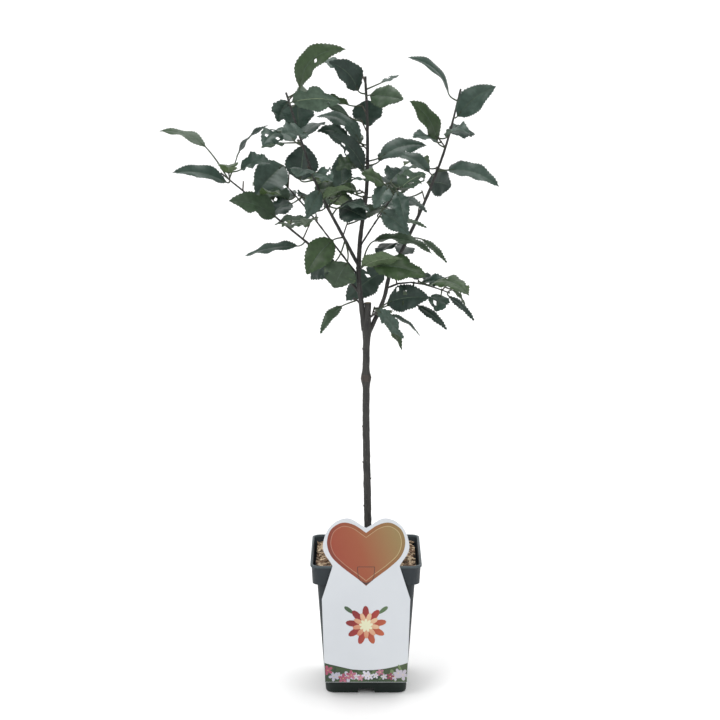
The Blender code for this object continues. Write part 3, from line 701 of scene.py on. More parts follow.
def mass_stem(name):
    """The stem that a mass grows from: its bough's own run carried on, or a shoot."""
    if name in CARRIED_ON:
        way, thick, thin, bare, _ = LIMBS[CARRIED_ON[name]]
    else:
        way, thick, thin, _ = SHOOTS[name]
        bare = 0
    way = smooth_way(way)
    count = max(4, round((1 - bare) * way_length(way) / STEM_RING))
    points = stretch(way, bare, 1, count)
    radii = taper(thick, thin, bare, 1, count)
    if bare:
        points[:1] = [square_to(way, bare, GAP)[1], square_to(way, bare, GAP + SQUARE_END)[1]]
        radii.insert(0, radii[0])
    return points, radii


def plan_crown(carriers):
    """Places every leaf and twig: first those of the outline, then those that fill."""
    limb_trees = [tube_tree(points, radii) for points, radii in carriers.values()]
    masses = [Mass(name, *mass_stem(name)) for name in LEAVES]
    for mass in masses:
        for row in LEAVES[mass.name]:
            mass.add(outline_leaf(mass.stem[0], row), masses, limb_trees)
    shown = [point for mass in masses for leaf in mass.leaves for point in rib_points(leaf)]
    rng = random.Random(SEED)
    for mass in masses:
        fill_twigs(mass, rng, masses, limb_trees, shown)
    return masses


def linear(red, green, blue):
    """A colour given as screen values, 0 to 255."""
    return tuple(((c / 255 + 0.055) / 1.055) ** 2.4 for c in (red, green, blue)) + (1,)


def grey(value):
    return (value, value, value, 1)


def shades(colour, spread):
    """The colour made darker and lighter by a share."""
    return [tuple(min(c * (1 + k), 1) for c in colour[:3]) + (1,) for k in (-spread, spread)]


def node_material(name, roughness, specular):
    made = bpy.data.materials.new(name)
    made.use_nodes = True
    shader = made.node_tree.nodes["Principled BSDF"]
    shader.inputs["Roughness"].default_value = roughness
    shader.inputs["Specular IOR Level"].default_value = specular
    return made, made.node_tree, shader


def coordinates(tree, stretch=(1, 1, 1)):
    """Object coordinates, stretched."""
    place = tree.nodes.new("ShaderNodeTexCoord")
    mapping = tree.nodes.new("ShaderNodeMapping")
    mapping.inputs["Scale"].default_value = stretch
    tree.links.new(place.outputs["Object"], mapping.inputs["Vector"])
    return mapping.outputs["Vector"]


def noise_value(tree, scale, detail=4, stretch=(1, 1, 1)):
    texture = tree.nodes.new("ShaderNodeTexNoise")
    texture.inputs["Scale"].default_value = scale
    texture.inputs["Detail"].default_value = detail
    tree.links.new(coordinates(tree, stretch), texture.inputs["Vector"])
    return texture.outputs["Fac"]


def ramp(tree, value, stops):
    """Colours spread over a value: stops are (place, colour)."""
    node = tree.nodes.new("ShaderNodeValToRGB")
    elements = node.color_ramp.elements
    elements[0].position, elements[0].color = stops[0]
    elements[1].position, elements[1].color = stops[-1]
    for place, colour in stops[1:-1]:
        elements.new(place).color = colour
    tree.links.new(value, node.inputs["Fac"])
    return node.outputs["Color"]


def bump(tree, shader, height, strength, distance):
    node = tree.nodes.new("ShaderNodeBump")
    node.inputs["Strength"].default_value = strength
    node.inputs["Distance"].default_value = distance
    tree.links.new(height, node.inputs["Height"])
    tree.links.new(node.outputs["Normal"], shader.inputs["Normal"])


def mixed(tree, blend, factor, first, second):
    """Two colours mixed; the factor and the second one are values or sockets."""
    mix = tree.nodes.new("ShaderNodeMix")
    mix.data_type = "RGBA"
    mix.blend_type = blend
    for spot, value in ((mix.inputs["Factor"], factor), (mix.inputs[6], first), (mix.inputs[7], second)):
        if isinstance(value, bpy.types.NodeSocket):
            tree.links.new(value, spot)
        else:
            spot.default_value = value
    return mix.outputs[2]


def leaf_material(name, colour, roughness, spread=0.16):
    """A leaf's side: one base colour with a faint, fine mottle."""
    made, tree, shader = node_material(name, roughness, 0.36)
    dark, light = shades(colour, spread)
    mottle = noise_value(tree, 160, 3)
    tree.links.new(ramp(tree, mottle, [(0.35, dark), (0.65, light)]), shader.inputs["Base Color"])
    bump(tree, shader, noise_value(tree, 900, 2), 0.25, 0.0004)
    return made


def bark_material(name, dark, light, roughness=0.62):
    """Young bark: fine lengthwise streaks, small pale pores and a slight sheen."""
    made, tree, shader = node_material(name, roughness, 0.35)
    streak = noise_value(tree, 90, 6, (1, 1, 0.22))
    colour = ramp(tree, streak, [(0.32, dark), (0.50, light), (0.70, dark)])
    pores = tree.nodes.new("ShaderNodeTexVoronoi")
    pores.inputs["Scale"].default_value = 230
    tree.links.new(coordinates(tree, (1, 1, 0.7)), pores.inputs["Vector"])
    mask = ramp(tree, pores.outputs["Distance"], [(0.08, grey(1)), (0.16, grey(0))])
    pale = tuple(min(c * 2.6, 1) for c in light[:3]) + (1,)
    tree.links.new(mixed(tree, "MIX", mask, colour, pale), shader.inputs["Base Color"])
    bump(tree, shader, streak, 0.5, 0.0008)
    return made


def pot_material():
    """Moulded matt plastic, greener at the foot, with painted shade there and a painted highlight on the
    lip.
    """
    made, tree, shader = node_material("pot_plastic", 0.5, 0.35)
    place = tree.nodes.new("ShaderNodeTexCoord")
    split = tree.nodes.new("ShaderNodeSeparateXYZ")
    tree.links.new(place.outputs["Object"], split.inputs["Vector"])
    height = tree.nodes.new("ShaderNodeMapRange")
    tree.links.new(split.outputs["Z"], height.inputs["Value"])
    height.inputs["From Max"].default_value = POT_HEIGHT
    # Painted shade: the dark green foot. Painted highlight: the light band at the very top, on the lip
    colour = ramp(tree, height.outputs["Result"], [
        (0.0, linear(10, 26, 21)), (0.12, linear(12, 28, 23)), (0.3, linear(30, 39, 42)),
        (0.984, linear(36, 43, 48)), (0.988, linear(66, 76, 80))])
    grain = noise_value(tree, 700, 3)
    shade = ramp(tree, grain, [(0.2, grey(0.88)), (0.8, grey(1))])
    tree.links.new(mixed(tree, "MULTIPLY", 1, colour, shade), shader.inputs["Base Color"])
    bump(tree, shader, grain, 0.12, 0.0006)
    return made


def rough_material(name, colour, roughness, grain, spread=0.2, strength=0.3):
    """A matt material with a fine grain in its colour and surface."""
    made, tree, shader = node_material(name, roughness, 0.3)
    value = noise_value(tree, grain, 4)
    dark, light = shades(colour, spread)
    tree.links.new(ramp(tree, value, [(0.3, dark), (0.7, light)]), shader.inputs["Base Color"])
    bump(tree, shader, value, strength, 0.0006)
    return made


def placed(name, data):
    """A new object in the scene."""
    obj = bpy.data.objects.new(name, data)
    bpy.context.scene.collection.objects.link(obj)
    return obj


def from_bmesh(bm, name):
    mesh = bpy.data.meshes.new(name)
    bm.to_mesh(mesh)
    bm.free()
    return placed(name, mesh)


def mesh_piece(name, verts, faces, materials, slots=None, smooth=True):
    """A mesh object from points and faces, with a material for each face."""
    mesh = bpy.data.meshes.new(name)
    mesh.from_pydata(verts, [], faces)
    for made in materials:
        mesh.materials.append(made)
    if slots:
        mesh.polygons.foreach_set("material_index", slots)
    mesh.polygons.foreach_set("use_smooth", [smooth] * len(mesh.polygons))
    mesh.update()
    return placed(name, mesh)


def settle(obj, slot, *nodes):
    """Rides the piece on the plant's one body, for the nodes it stands for."""
    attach(obj, "root")
    if nodes:
        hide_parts(*nodes)


def blend(u, v, leave, arrive, k):
    """The way from u to v at a share k, for the slopes that it leaves and arrives with."""
    return ((2 * k ** 3 - 3 * k ** 2 + 1) * u + (k ** 3 - 2 * k ** 2 + k) * leave
            + (3 * k ** 2 - 2 * k ** 3) * v + (k ** 3 - k ** 2) * arrive)


def smooth_value(points, t):
    """The value at t of a smooth curve through (place, value) points."""
    for i in range(len(points) - 1):
        (a, u), (b, v) = points[i], points[i + 1]
        if t <= b:
            before = points[max(i - 1, 0)]
            after = points[min(i + 2, len(points) - 1)]
            step = b - a
            leave = step * (v - before[1]) / (b - before[0])
            arrive = step * (after[1] - u) / (after[0] - a)
            return blend(u, v, leave, arrive, (t - a) / step)
    return points[-1][1]


class Heap:
    """Points and faces of one joined piece."""

    def __init__(self):
        self.verts = []
        self.faces = []
        self.slots = []
        self.places = []             # one (u, v) for each point

    def cover(self, start, faces, slot):
        """Adds faces over the points that were taken from a start on."""
        self.faces += [tuple(i + start for i in face) for face in faces]
        self.slots += [slot] * len(faces)

    def take(self, verts, faces, slot, places=None):
        """Adds points and their faces, and says where the points start."""
        start = len(self.verts)
        self.verts += verts
        self.places += places or [(0, 0)] * len(verts)
        self.cover(start, faces, slot)
        return start


def vein_depth(t, reach, half, length):
    """How far the rib and the side veins sink into the upper side."""
    run = (t * (VEINS + 1) - reach * half * 1.1 / length * (VEINS + 1)) % 1.0
    off = min(run, 1 - run) * length / (VEINS + 1)
    ridge = bell(off, 0, VEIN_WIDE) * (1 - reach) * 1.6 * (0 < t < 1)
    return VEIN_DEEP * (ridge + 1.4 * bell(reach, 0, RIB_WIDE))


def blade_holes(rng, rows):
    """The cells of a blade that are left open, as (row, column)."""
    holes = set()
    if rng.random() < HOLED:
        for _ in range(rng.choice((1, 1, 2, 3))):
            row = rng.randrange(rows // 6, rows * 3 // 4)
            k = rng.choice((1, 2, 6, 7))
            holes |= {(row, k), (row + 1, k)}
            if rng.random() < 0.4:
                holes.add((row + rng.choice((-1, 2)), k))
    return holes


def fine_blade(heap, leaf, rng, upper, under, cell):
    """One serrated, folded and waved blade, as two thin sheets that meet at the margin."""
    _, base, tip, width, arch, facing = leaf
    chord, normal, bow = leaf_frame(base, tip, arch, facing)
    length = chord.length
    rows = max(8, round(length / TOOTH)) * 2
    phase = rng.uniform(0, 6.3)
    ripple = rng.uniform(11, 19)
    wave = WAVE * rng.uniform(0.5, 1.6) * min(1, width / 0.030)
    fold = FOLD * rng.uniform(0.6, 1.5)
    droop = rng.uniform(-0.1, 0.25)
    bites = [(rng.uniform(0.2, 0.85), rng.uniform(0.03, 0.08), rng.uniform(0.12, 0.4),
              rng.choice((-1, 1))) for _ in range(3)] if rng.random() < BITES else []
    top = []
    low = []
    places = []
    for row in range(rows + 1):
        t = row / rows
        wide = max(smooth_value(OUTLINE, t), 0.0) * width / 2
        wide = max(wide, PETIOLE_HALF * 0.8 * (1 - t))
        centre, tangent = rib_at(base, chord, bow, t)
        side, up = side_and_up(tangent.normalized(), normal)
        for v in ACROSS:
            hand = math.copysign(1, v)
            reach = abs(v)
            half = wide
            for middle, span, deep, on in bites:
                if on == hand:
                    half *= 1 - deep * bell(t, middle, span)
            if reach > 0.8 and TOOTHED[0] < t < TOOTHED[1] and row % 2:
                half += TOOTH_HIGH * (reach - 0.5) * 2
            bend = fold * (1 - 0.35 * reach)
            lift = half * reach * math.sin(bend)
            lift += wave * reach ** 2 * math.sin(phase + hand * 0.9 + t * ripple) * math.sin(math.pi * t)
            lift -= droop * half * reach ** 3
            here = centre + side * (hand * half * reach * math.cos(bend)) + up * lift
            edge = reach > 0.99 or row == rows
            thick = 0 if edge else SHEET / 2
            sink = 0 if edge else vein_depth(t, reach, half, length)
            top.append(here + up * (thick - sink))
            low.append(here - up * (thick + sink))
            places.append((0.25 + 0.22 * v, t))
    spots = [cell(u, w) for u, w in places] + [cell(u + 0.5, w) for u, w in places]
    holes = blade_holes(rng, rows)
    column = len(ACROSS)
    shift = len(top)
    groups = {upper: [], under: [], RIB_UPPER: [], RIB_UNDER: []}
    for row in range(rows):
        for k in range(column - 1):
            if (row, k) in holes:
                continue
            a = row * column + k
            face = (a, a + 1, a + 1 + column, a + column)
            rib = k == column // 2 - 1 and row < rows * RIB_END
            groups[RIB_UPPER if rib else upper].append(face)
            groups[RIB_UNDER if rib else under].append(tuple(i + shift for i in reversed(face)))
    start = heap.take(top + low, [], upper, spots)
    for slot, faces in groups.items():
        heap.cover(start, faces, slot)


def round_limb(heap, points, radii, sides, slot, rough=0.0, grain=60):
    """A tapering round limb with closed ends."""
    verts = []
    for i, radius in enumerate(radii):
        run = run_at(points, i)
        across = run.cross(Vector((0.3, 1, 0.1))).normalized()
        for out in spokes(across, run.cross(across), sides):
            spot = points[i] + out * radius
            if rough:
                spot += out * (rough * noise.noise(spot * grain) * 1.6
                               + rough * 0.6 * noise.noise(spot * grain * 4))
            verts.append(spot)
    last = (len(points) - 1) * sides
    ends = [tuple(reversed(range(sides))), tuple(last + k for k in range(sides))]
    heap.take(verts, loft_faces(len(points), sides) + ends, slot)


def resampled(points, radii, step):
    """The limb's points an even step apart, with the radii between."""
    total = way_length(points)
    count = max(3, round(total / step) + 1)
    lengths = [0.0]
    for a, b in zip(points, points[1:]):
        lengths.append(lengths[-1] + (b - a).length)
    out_points = []
    out_radii = []
    for i in range(count):
        goal = total * i / (count - 1)
        k = max(j for j in range(len(lengths)) if lengths[j] <= goal + 1e-9)
        k = min(k, len(points) - 2)
        share = (goal - lengths[k]) / max(lengths[k + 1] - lengths[k], 1e-9)
        out_points.append(points[k].lerp(points[k + 1], share))
        out_radii.append(radii[k] + (radii[k + 1] - radii[k]) * share)
    return out_points, out_radii


def bud(heap, spot, along, away, size, slot):
    """A small pointed bud that lies along its twig."""
    run = (along * 0.8 + away * 0.6).normalized()
    points = [spot + run * (size * k) for k in (0.0, 0.35, 0.75, 1.2, 1.6)]
    radii = [size * k for k in (0.35, 0.52, 0.42, 0.2, 0.03)]
    round_limb(heap, points, radii, 7, slot)


def limb_ways():
    """Every limb's points and radii, as the solids have them."""
    ways = {}
    way = smooth_way(TRUNK_WAY)
    count = round(way_length(way) / TRUNK_RING) + 1
    points = stretch(way, 0, 1, count)
    points[0].z = SOIL_TOP + GAP
    points[1].xy = points[0].xy
    points[-1].xy = points[-2].xy
    ways["trunk"] = (points, [trunk_radius(p.z) for p in points])
    for name, (way, thick, thin, bare, _) in LIMBS.items():
        way = smooth_way(way)
        count = max(5, round(bare * way_length(way) / LIMB_RING))
        points = stretch(way, 0, bare, count)
        radii = taper(thick, thin, 0, bare, count)
        end, before = square_to(way, bare, -SQUARE_END)
        points[-1:] = [before, end]
        radii.append(radii[-1])
        ways[name] = (points, radii)
    return ways


def trunk_details(heap, points):
    """The trunk's buds, and its graft in a bark of its own."""
    for height, hand in TRUNK_BUDS:
        near = min(points, key=lambda p: abs(p.z - height))
        away = Vector((hand, -0.25, 0)).normalized()
        bud(heap, near + away * (trunk_radius(height) * 0.9), UP, away, 0.0024, 2)
    spots = [k for k, p in enumerate(points) if abs(p.z - GRAFT[0]) < GRAFT[2] * 0.75]
    first = spots[0] * LIMB_SIDES
    last = spots[-1] * LIMB_SIDES
    for index, face in enumerate(heap.faces):
        if first <= min(face) < last:
            heap.slots[index] = 1


def bark_limbs(ways, materials):
    """The trunk and boughs with the bark's relief."""
    for name, (points, radii) in ways.items():
        heap = Heap()
        points, radii = resampled(points, radii, RING)
        if name == "trunk":
            radii = [trunk_radius(p.z) for p in points]
        round_limb(heap, points, radii, LIMB_SIDES, 0, BARK_ROUGH, 90)
        if name == "trunk":
            trunk_details(heap, points)
        piece = mesh_piece("bark_" + name, heap.verts, heap.faces, materials, heap.slots)
        settle(piece, "bark", name)


def cut_face(materials):
    """The pale cut wood on top of the old stem."""
    centre = seen(*TRUNK_WAY[-1])
    heap = Heap()
    points = [centre + UP * k for k in (-0.0006, 0.0002, 0.0006)]
    radii = [STUB_RADIUS * k for k in (0.96, 0.94, 0.8)]
    round_limb(heap, points, radii, 20, 0, 0.0003, 200)
    settle(mesh_piece("cut_wood", heap.verts, heap.faces, materials, heap.slots), "bark")


def leaf_cells(count):
    """For each leaf, a function that places its (u, v) in its own square of the map."""
    side = math.ceil(math.sqrt(count))
    cells = []
    for i in range(count):
        x, y = i % side, i // side
        cells.append(lambda u, v, x=x, y=y: ((x + 0.04 + 0.92 * u) / side, (y + 0.04 + 0.92 * v) / side))
    return cells


def stalk_line(leaf):
    """The bent line of a leaf's stalk, from its stem to a little way into the blade."""
    rings = leaf_rings(*leaf)
    bend, foot = [(rings[k][1] + rings[k][3]) / 2 for k in (1, 3)]
    return curve_through([leaf[0], leaf[0], bend, leaf[1], foot, foot], 4)


def crown(ways, leaf_sides, wood):
    """Every mass of leaves: its blades in one piece, its wood and stalks in another."""
    rng = random.Random(SEED + 1)
    uppers = len(UPPERS)
    for mass in plan_crown(ways):
        short = mass.name.replace("leaves_", "")
        blades = Heap()
        twigs = Heap()
        cells = leaf_cells(len(mass.leaves))
        round_limb(twigs, *resampled(*mass.stem, RING), 12, 0, BARK_ROUGH * 0.7, 120)
        for way, thick in mass.twigs:
            round_limb(twigs, *resampled(way, thick, RING), 8, 1, BARK_ROUGH * 0.4, 150)
        for i, leaf in enumerate(mass.leaves):
            kind = rng.choices(range(uppers), weights=LEAF_WEIGHTS)[0]
            fine_blade(blades, leaf, rng, kind, uppers + kind, cells[i])
            line = stalk_line(leaf)
            count = len(line) - 1
            thick = [STALK_THICK - STALK_TAPER * k / count for k in range(count + 1)]
            round_limb(twigs, line, thick, 7, 2)
            run = (leaf[1] - leaf[0]).normalized()
            bud(twigs, leaf[0] + UP * 0.001, UP, run, 0.0019, 1)
        piece = mesh_piece("foliage_" + short, blades.verts, blades.faces, leaf_sides, blades.slots)
        layer = piece.data.uv_layers.new(name="OFBake")
        for loop in piece.data.loops:
            layer.data[loop.index].uv = blades.places[loop.vertex_index]
        settle(piece, "leaf", mass.name)
        piece = mesh_piece("twigs_" + short, twigs.verts, twigs.faces, wood, twigs.slots)
        settle(piece, "bark", mass.name)


def block(name, low, low_width, high, high_width, corner=CORNER):
    """A square block between two heights, with rounded upright corners."""
    bm = bmesh.new()
    bmesh.ops.create_cube(bm, size=1)
    for vert in bm.verts:
        half, height = (low_width / 2, low) if vert.co.z < 0 else (high_width / 2, high)
        vert.co = Vector((math.copysign(half, vert.co.x), math.copysign(half, vert.co.y), height))
    upright = [e for e in bm.edges if abs(e.verts[0].co.z - e.verts[1].co.z) > 1e-4]
    bmesh.ops.bevel(bm, geom=upright, offset=corner, segments=10, profile=0.5, affect="EDGES")
    return from_bmesh(bm, name)


def notches():
    """Four drain notches, one in the middle of each side."""
    bm = bmesh.new()
    outer = FOOT_WIDTH / 2 + WALL
    for quarter in range(4):
        turn = quarter * math.pi / 2
        for vert in bmesh.ops.create_cube(bm, size=1)["verts"]:
            half = (NOTCH_LOW_WIDTH if vert.co.z < 0 else NOTCH_TOP_WIDTH) / 2
            across = math.copysign(half, vert.co.x)
            inward = -outer if vert.co.y < 0 else NOTCH_DEPTH - FOOT_WIDTH / 2
            height = -WALL if vert.co.z < 0 else NOTCH_HEIGHT
            vert.co = Vector((across * math.cos(turn) - inward * math.sin(turn),
                              across * math.sin(turn) + inward * math.cos(turn), height))
    return from_bmesh(bm, "notches")


def add_bevel(obj, width, segments, angle):
    bevel = obj.modifiers.new("Bevel", "BEVEL")
    bevel.width = width
    bevel.segments = segments
    bevel.limit_method = "ANGLE"
    bevel.angle_limit = math.radians(angle)
    return bevel


def finished(obj, name, made):
    """The object as a plain mesh piece, with its modifiers applied and one material."""
    mesh = evaluated_mesh(obj)
    bpy.data.objects.remove(obj, do_unlink=True)
    mesh.name = name
    mesh.materials.clear()
    mesh.materials.append(made)
    return placed(name, mesh)


def smoothed(piece):
    piece.data.shade_smooth()
    piece.data.set_sharp_from_angle(angle=math.radians(40))
    return piece


def pot(made):
    step = POT_HEIGHT - COLLAR_HEIGHT
    joint = step + WALL
    inner = 2 * WALL
    above = POT_HEIGHT + WALL
    body = block("pot_body", 0, FOOT_WIDTH, joint, body_width(joint))
    add_bevel(body, FOOT_ROUND, 4, 60).use_clamp_overlap = False
    tools = [
        (block("a", step, COLLAR_LOW_WIDTH, POT_HEIGHT, COLLAR_TOP_WIDTH), "UNION"),
        (block("b", POT_HEIGHT - LIP_HEIGHT, LIP_WIDTH, POT_HEIGHT, LIP_WIDTH), "UNION"),
        (block("c", FLOOR, body_width(FLOOR) - inner, above, body_width(above) - inner,
               CORNER - WALL), "DIFFERENCE"),
        (block("d", joint, COLLAR_LOW_WIDTH - inner, above, COLLAR_TOP_WIDTH - inner,
               CORNER - WALL), "DIFFERENCE"),
        (notches(), "DIFFERENCE"),
    ]
    for tool, operation in tools:
        modifier = body.modifiers.new(operation.title(), "BOOLEAN")
        modifier.operation = operation
        modifier.solver = "EXACT"
        modifier.object = tool
    add_bevel(body, EDGE_ROUND, 2, 50)
    piece = smoothed(finished(body, "nursery_pot", made))
    for tool, _ in tools:
        bpy.data.objects.remove(tool, do_unlink=True)
    settle(piece, "pot", "pot")


def root_ball(made):
    inner = 2 * (WALL + GAP)
    low = FLOOR + GAP
    high = SOIL_TOP - 0.002
    ball = block("soil_ball", low, body_width(low) - inner, high, body_width(high) - inner,
                 CORNER - WALL - GAP)
    settle(smoothed(finished(ball, "root_ball", made)), "soil", "soil")


def mulch_bed(heap, half, top):
    """The uneven ground that shows between the chips."""
    grid = []
    faces = []
    for row in range(BED_CELLS + 1):
        for column in range(BED_CELLS + 1):
            x = -half + 2 * half * column / BED_CELLS
            y = -half + 2 * half * row / BED_CELLS
            rise = 0.0022 * noise.noise(Vector((x, y, 0)) * 55)
            rise += 0.0015 * noise.noise(Vector((x, y, 1)) * 150)
            grid.append(Vector((x, y, top - 0.001 + rise)))
    for row in range(BED_CELLS):
        for column in range(BED_CELLS):
            a = row * (BED_CELLS + 1) + column
            faces.append((a, a + 1, a + BED_CELLS + 2, a + BED_CELLS + 1))
    heap.take(grid, faces, 0)


def chip(rng, x, y, top):
    """The twelve points of one bark chip: a rough slab with a ridge across its middle."""
    size = [rng.uniform(*CHIP_LONG), rng.uniform(*CHIP_WIDE), rng.uniform(*CHIP_THICK)]
    rise = rng.uniform(0.0, 0.0035)
    turn = Matrix.Rotation(rng.uniform(0, math.pi), 4, "Z")
    tip = Matrix.Rotation(rng.gauss(0, 0.22), 4, "Y") @ Matrix.Rotation(rng.gauss(0, 0.3), 4, "X")
    corners = []
    for z in (-1, 1):
        for x_hand, y_hand in ((-1, -1), (1, -1), (1, 1), (-1, 1)):
            spot = Vector((x_hand * size[0] / 2 * rng.uniform(0.75, 1.05),
                           y_hand * size[1] / 2 * rng.uniform(0.5, 1.1),
                           z * size[2] / 2 * rng.uniform(0.6, 1.1)))
            corners.append(turn @ tip @ spot + Vector((x, y, top + rise)))
    return corners + [(corners[i] + corners[j]) / 2 + Vector((0, 0, rng.uniform(-0.0008, 0.0008)))
                      for i, j in ((0, 1), (3, 2), (4, 5), (7, 6))]


def mulch(base_material, chip_materials):
    """The bark chips that cover the root ball."""
    rng = random.Random(SEED + 2)
    heap = Heap()
    half = COLLAR_LOW_WIDTH / 2 - WALL - BED_EDGE
    edge = half + 0.003
    top = SOIL_TOP - 0.001
    mulch_bed(heap, half, top)
    faces = [(0, 3, 9, 8), (8, 9, 2, 1), (4, 10, 11, 7), (10, 5, 6, 11), (0, 8, 10, 4),
             (8, 1, 5, 10), (3, 7, 11, 9), (9, 11, 6, 2), (0, 4, 7, 3), (1, 2, 6, 5)]
    for _ in range(CHIPS):
        x = rng.uniform(-half, half)
        y = rng.uniform(-half, half)
        if Vector((x - TRUNK_WAY[0][0] * MM, y)).length < TRUNK_ROOM:
            continue
        verts = [Vector((max(-edge, min(edge, p.x)), max(-edge, min(edge, p.y)), p.z))
                 for p in chip(rng, x, y, top)]
        heap.take(verts, faces, 1 + rng.randrange(len(chip_materials)))
    piece = mesh_piece("bark_mulch", heap.verts, heap.faces, [base_material] + chip_materials,
                       heap.slots, smooth=False)
    settle(piece, "soil", "soil")


def card(made):
    """The card, from its outline as a filled flat curve."""
    right = [CARD_LOBE, CARD_WIDEST, CARD_WAIST, CARD_SHOULDER, (CARD_FOOT_HALF, CARD_FOOT)]
    outline = [CARD_CLEFT] + right + [(-x, z) for x, z in reversed(right)]
    round_points = (CARD_LOBE[1], CARD_WIDEST[1])
    curve = bpy.data.curves.new("card", "CURVE")
    curve.dimensions = "2D"
    curve.fill_mode = "BOTH"
    curve.bevel_depth = CARD_THICK / 10
    curve.extrude = CARD_THICK / 2 - curve.bevel_depth
    curve.resolution_u = 16
    spline = curve.splines.new("BEZIER")
    spline.bezier_points.add(len(outline) - 1)
    spline.use_cyclic_u = True
    for point, (x, z) in zip(spline.bezier_points, outline):
        point.co = (x, z, 0)
        kind = "AUTO" if z in round_points else "VECTOR"
        point.handle_left_type = kind
        point.handle_right_type = kind
    piece = finished(placed("card_curve", curve), "plant_card", made)
    piece.data.transform(Matrix.Translation((0, -(LIP_WIDTH / 2 + GAP + CARD_THICK / 2), 0))
                         @ Matrix.Rotation(math.pi / 2, 4, "X"))
    settle(piece, "card", "card")


def card_spot(x, z, proud):
    """A point on the card's front, in the scene's frame."""
    return Vector((x, -(LIP_WIDTH / 2 + GAP + CARD_THICK) - proud, z))


def rounded(points, steps=10):
    """A smooth closed line through points; a point marked sharp keeps its corner."""
    count = len(points)
    line = []
    for i in range(count):
        (a, _), (b, b_sharp) = points[i - 1], points[i]
        (c, c_sharp), (d, _) = points[(i + 1) % count], points[(i + 2) % count]
        a, b, c, d = (Vector(p) for p in (a, b, c, d))
        leave = (c - b) if b_sharp else (c - a) / 2
        arrive = (c - b) if c_sharp else (d - b) / 2
        line += [blend(b, c, leave, arrive, k / steps) for k in range(steps)]
    return line


def inset(line, by):
    """The closed line moved inwards; both halves end on the middle line."""
    right = [p for p in line if p.x > -1e-9]
    moved = []
    for i, point in enumerate(right):
        run = run_at(right, i)
        moved.append(point + Vector((-run.y, run.x)) * by)
    inside = [i for i, p in enumerate(moved) if p.x > 0]
    kept = moved[inside[0]:inside[-1] + 1]
    ends = []
    for a, b in ((kept[1], kept[0]), (kept[-2], kept[-1])):
        ends.append(Vector((0, b.y - (b.y - a.y) / (b.x - a.x) * b.x)))
    half = [ends[0]] + kept + [ends[1]]
    return half + [Vector((-p.x, p.y)) for p in half[-2:0:-1]]


def print_material(name, stops, direction=(1, 0, 0), middle=(0, 0, 0), reach=0.1, grain=0.04):
    """A printed colour that changes along a direction, with a faint paper grain."""
    made, tree, shader = node_material(name, 0.42, 0.5)
    place = tree.nodes.new("ShaderNodeTexCoord")
    shifted = tree.nodes.new("ShaderNodeVectorMath")
    shifted.operation = "SUBTRACT"
    tree.links.new(place.outputs["Object"], shifted.inputs[0])
    shifted.inputs[1].default_value = middle
    along = tree.nodes.new("ShaderNodeVectorMath")
    along.operation = "DOT_PRODUCT"
    tree.links.new(shifted.outputs[0], along.inputs[0])
    along.inputs[1].default_value = Vector(direction).normalized()
    run = tree.nodes.new("ShaderNodeMapRange")
    tree.links.new(along.outputs["Value"], run.inputs["Value"])
    run.inputs["From Min"].default_value = -reach / 2
    run.inputs["From Max"].default_value = reach / 2
    colour = ramp(tree, run.outputs["Result"], [(spot, linear(*ink)) for spot, *ink in stops])
    shade = ramp(tree, noise_value(tree, 500, 2), [(0.0, grey(1 - grain)), (1.0, grey(1))])
    tree.links.new(mixed(tree, "MULTIPLY", 1, colour, shade), shader.inputs["Base Color"])
    return made


def film(name, line):
    """A printed area: a flat filled outline just in front of the card."""
    proud, *ink = PRINTS[name]
    bm = bmesh.new()
    bm.faces.new([bm.verts.new(card_spot(p.x, p.y, proud)) for p in line])
    bmesh.ops.triangulate(bm, faces=bm.faces, ngon_method="EAR_CLIP")
    for face in bm.faces:
        if face.normal.y > 0:
            face.normal_flip()
    piece = from_bmesh(bm, name)
    piece.data.materials.append(print_material(*ink))
    settle(piece, "card")


def band(name, line, width):
    """A printed line: a flat closed band that follows the outline."""
    proud, *ink = PRINTS[name]
    count = len(line)
    verts = []
    faces = []
    for i, point in enumerate(line):
        run = (line[(i + 1) % count] - line[i - 1]).normalized()
        side = Vector((-run.y, run.x)) * width / 2
        verts += [card_spot(*(point - side), proud), card_spot(*(point + side), proud)]
        b = 2 * ((i + 1) % count)
        faces.append((2 * i, b, b + 1, 2 * i + 1))
    settle(mesh_piece(name, verts, faces, [print_material(*ink)], smooth=False), "card")


def fans(name, shapes, step=1e-6):
    """Flat shapes in one piece, printed ones and the slit's painted shadow; each lies a hair before the
    last.
    """
    proud, *ink = PRINTS[name]
    heap = Heap()
    for i, shape in enumerate(shapes):
        verts = [card_spot(p[0], p[1], proud + step * (i % 40)) for p in shape]
        heap.take(verts, [tuple(range(len(verts)))], 0)
    settle(mesh_piece(name, heap.verts, heap.faces, [print_material(*ink)], smooth=False), "card")


def petal(centre, turn, long, wide, steps=14):
    """A flat pointed oval that starts at the centre."""
    line = []
    for k in range(steps):
        a = 2 * math.pi * k / steps
        x = long / 2 * (1 - math.cos(a))
        y = wide / 2 * math.sin(a) * (0.75 + 0.25 * math.cos(a - math.pi) * 0.8)
        line.append(Vector((centre[0] + x * math.cos(turn) - y * math.sin(turn),
                            centre[1] + x * math.sin(turn) + y * math.cos(turn))))
    return line


def clipped(line, high, half):
    """The line kept on the strip: up to a height, and within a half width."""
    low = CARD_FOOT + STRIP_EDGE
    return [Vector((max(-half, min(half, p.x)), max(low, min(high, p.y)))) for p in line]


def card_heart():
    """A warm heart with a thin line round its middle."""
    side = [(point, False) for point in HEART_SIDE]
    other = [((-x, z), False) for x, z in reversed(HEART_SIDE)]
    heart = rounded([(HEART_TIP, True)] + side + [(HEART_CLEFT, True)] + other)
    film("card_heart", heart)
    inner = inset(heart, HEART_INSET)
    band("card_heart_line", inner, LINE_WIDE)
    film("card_heart_middle", inner)


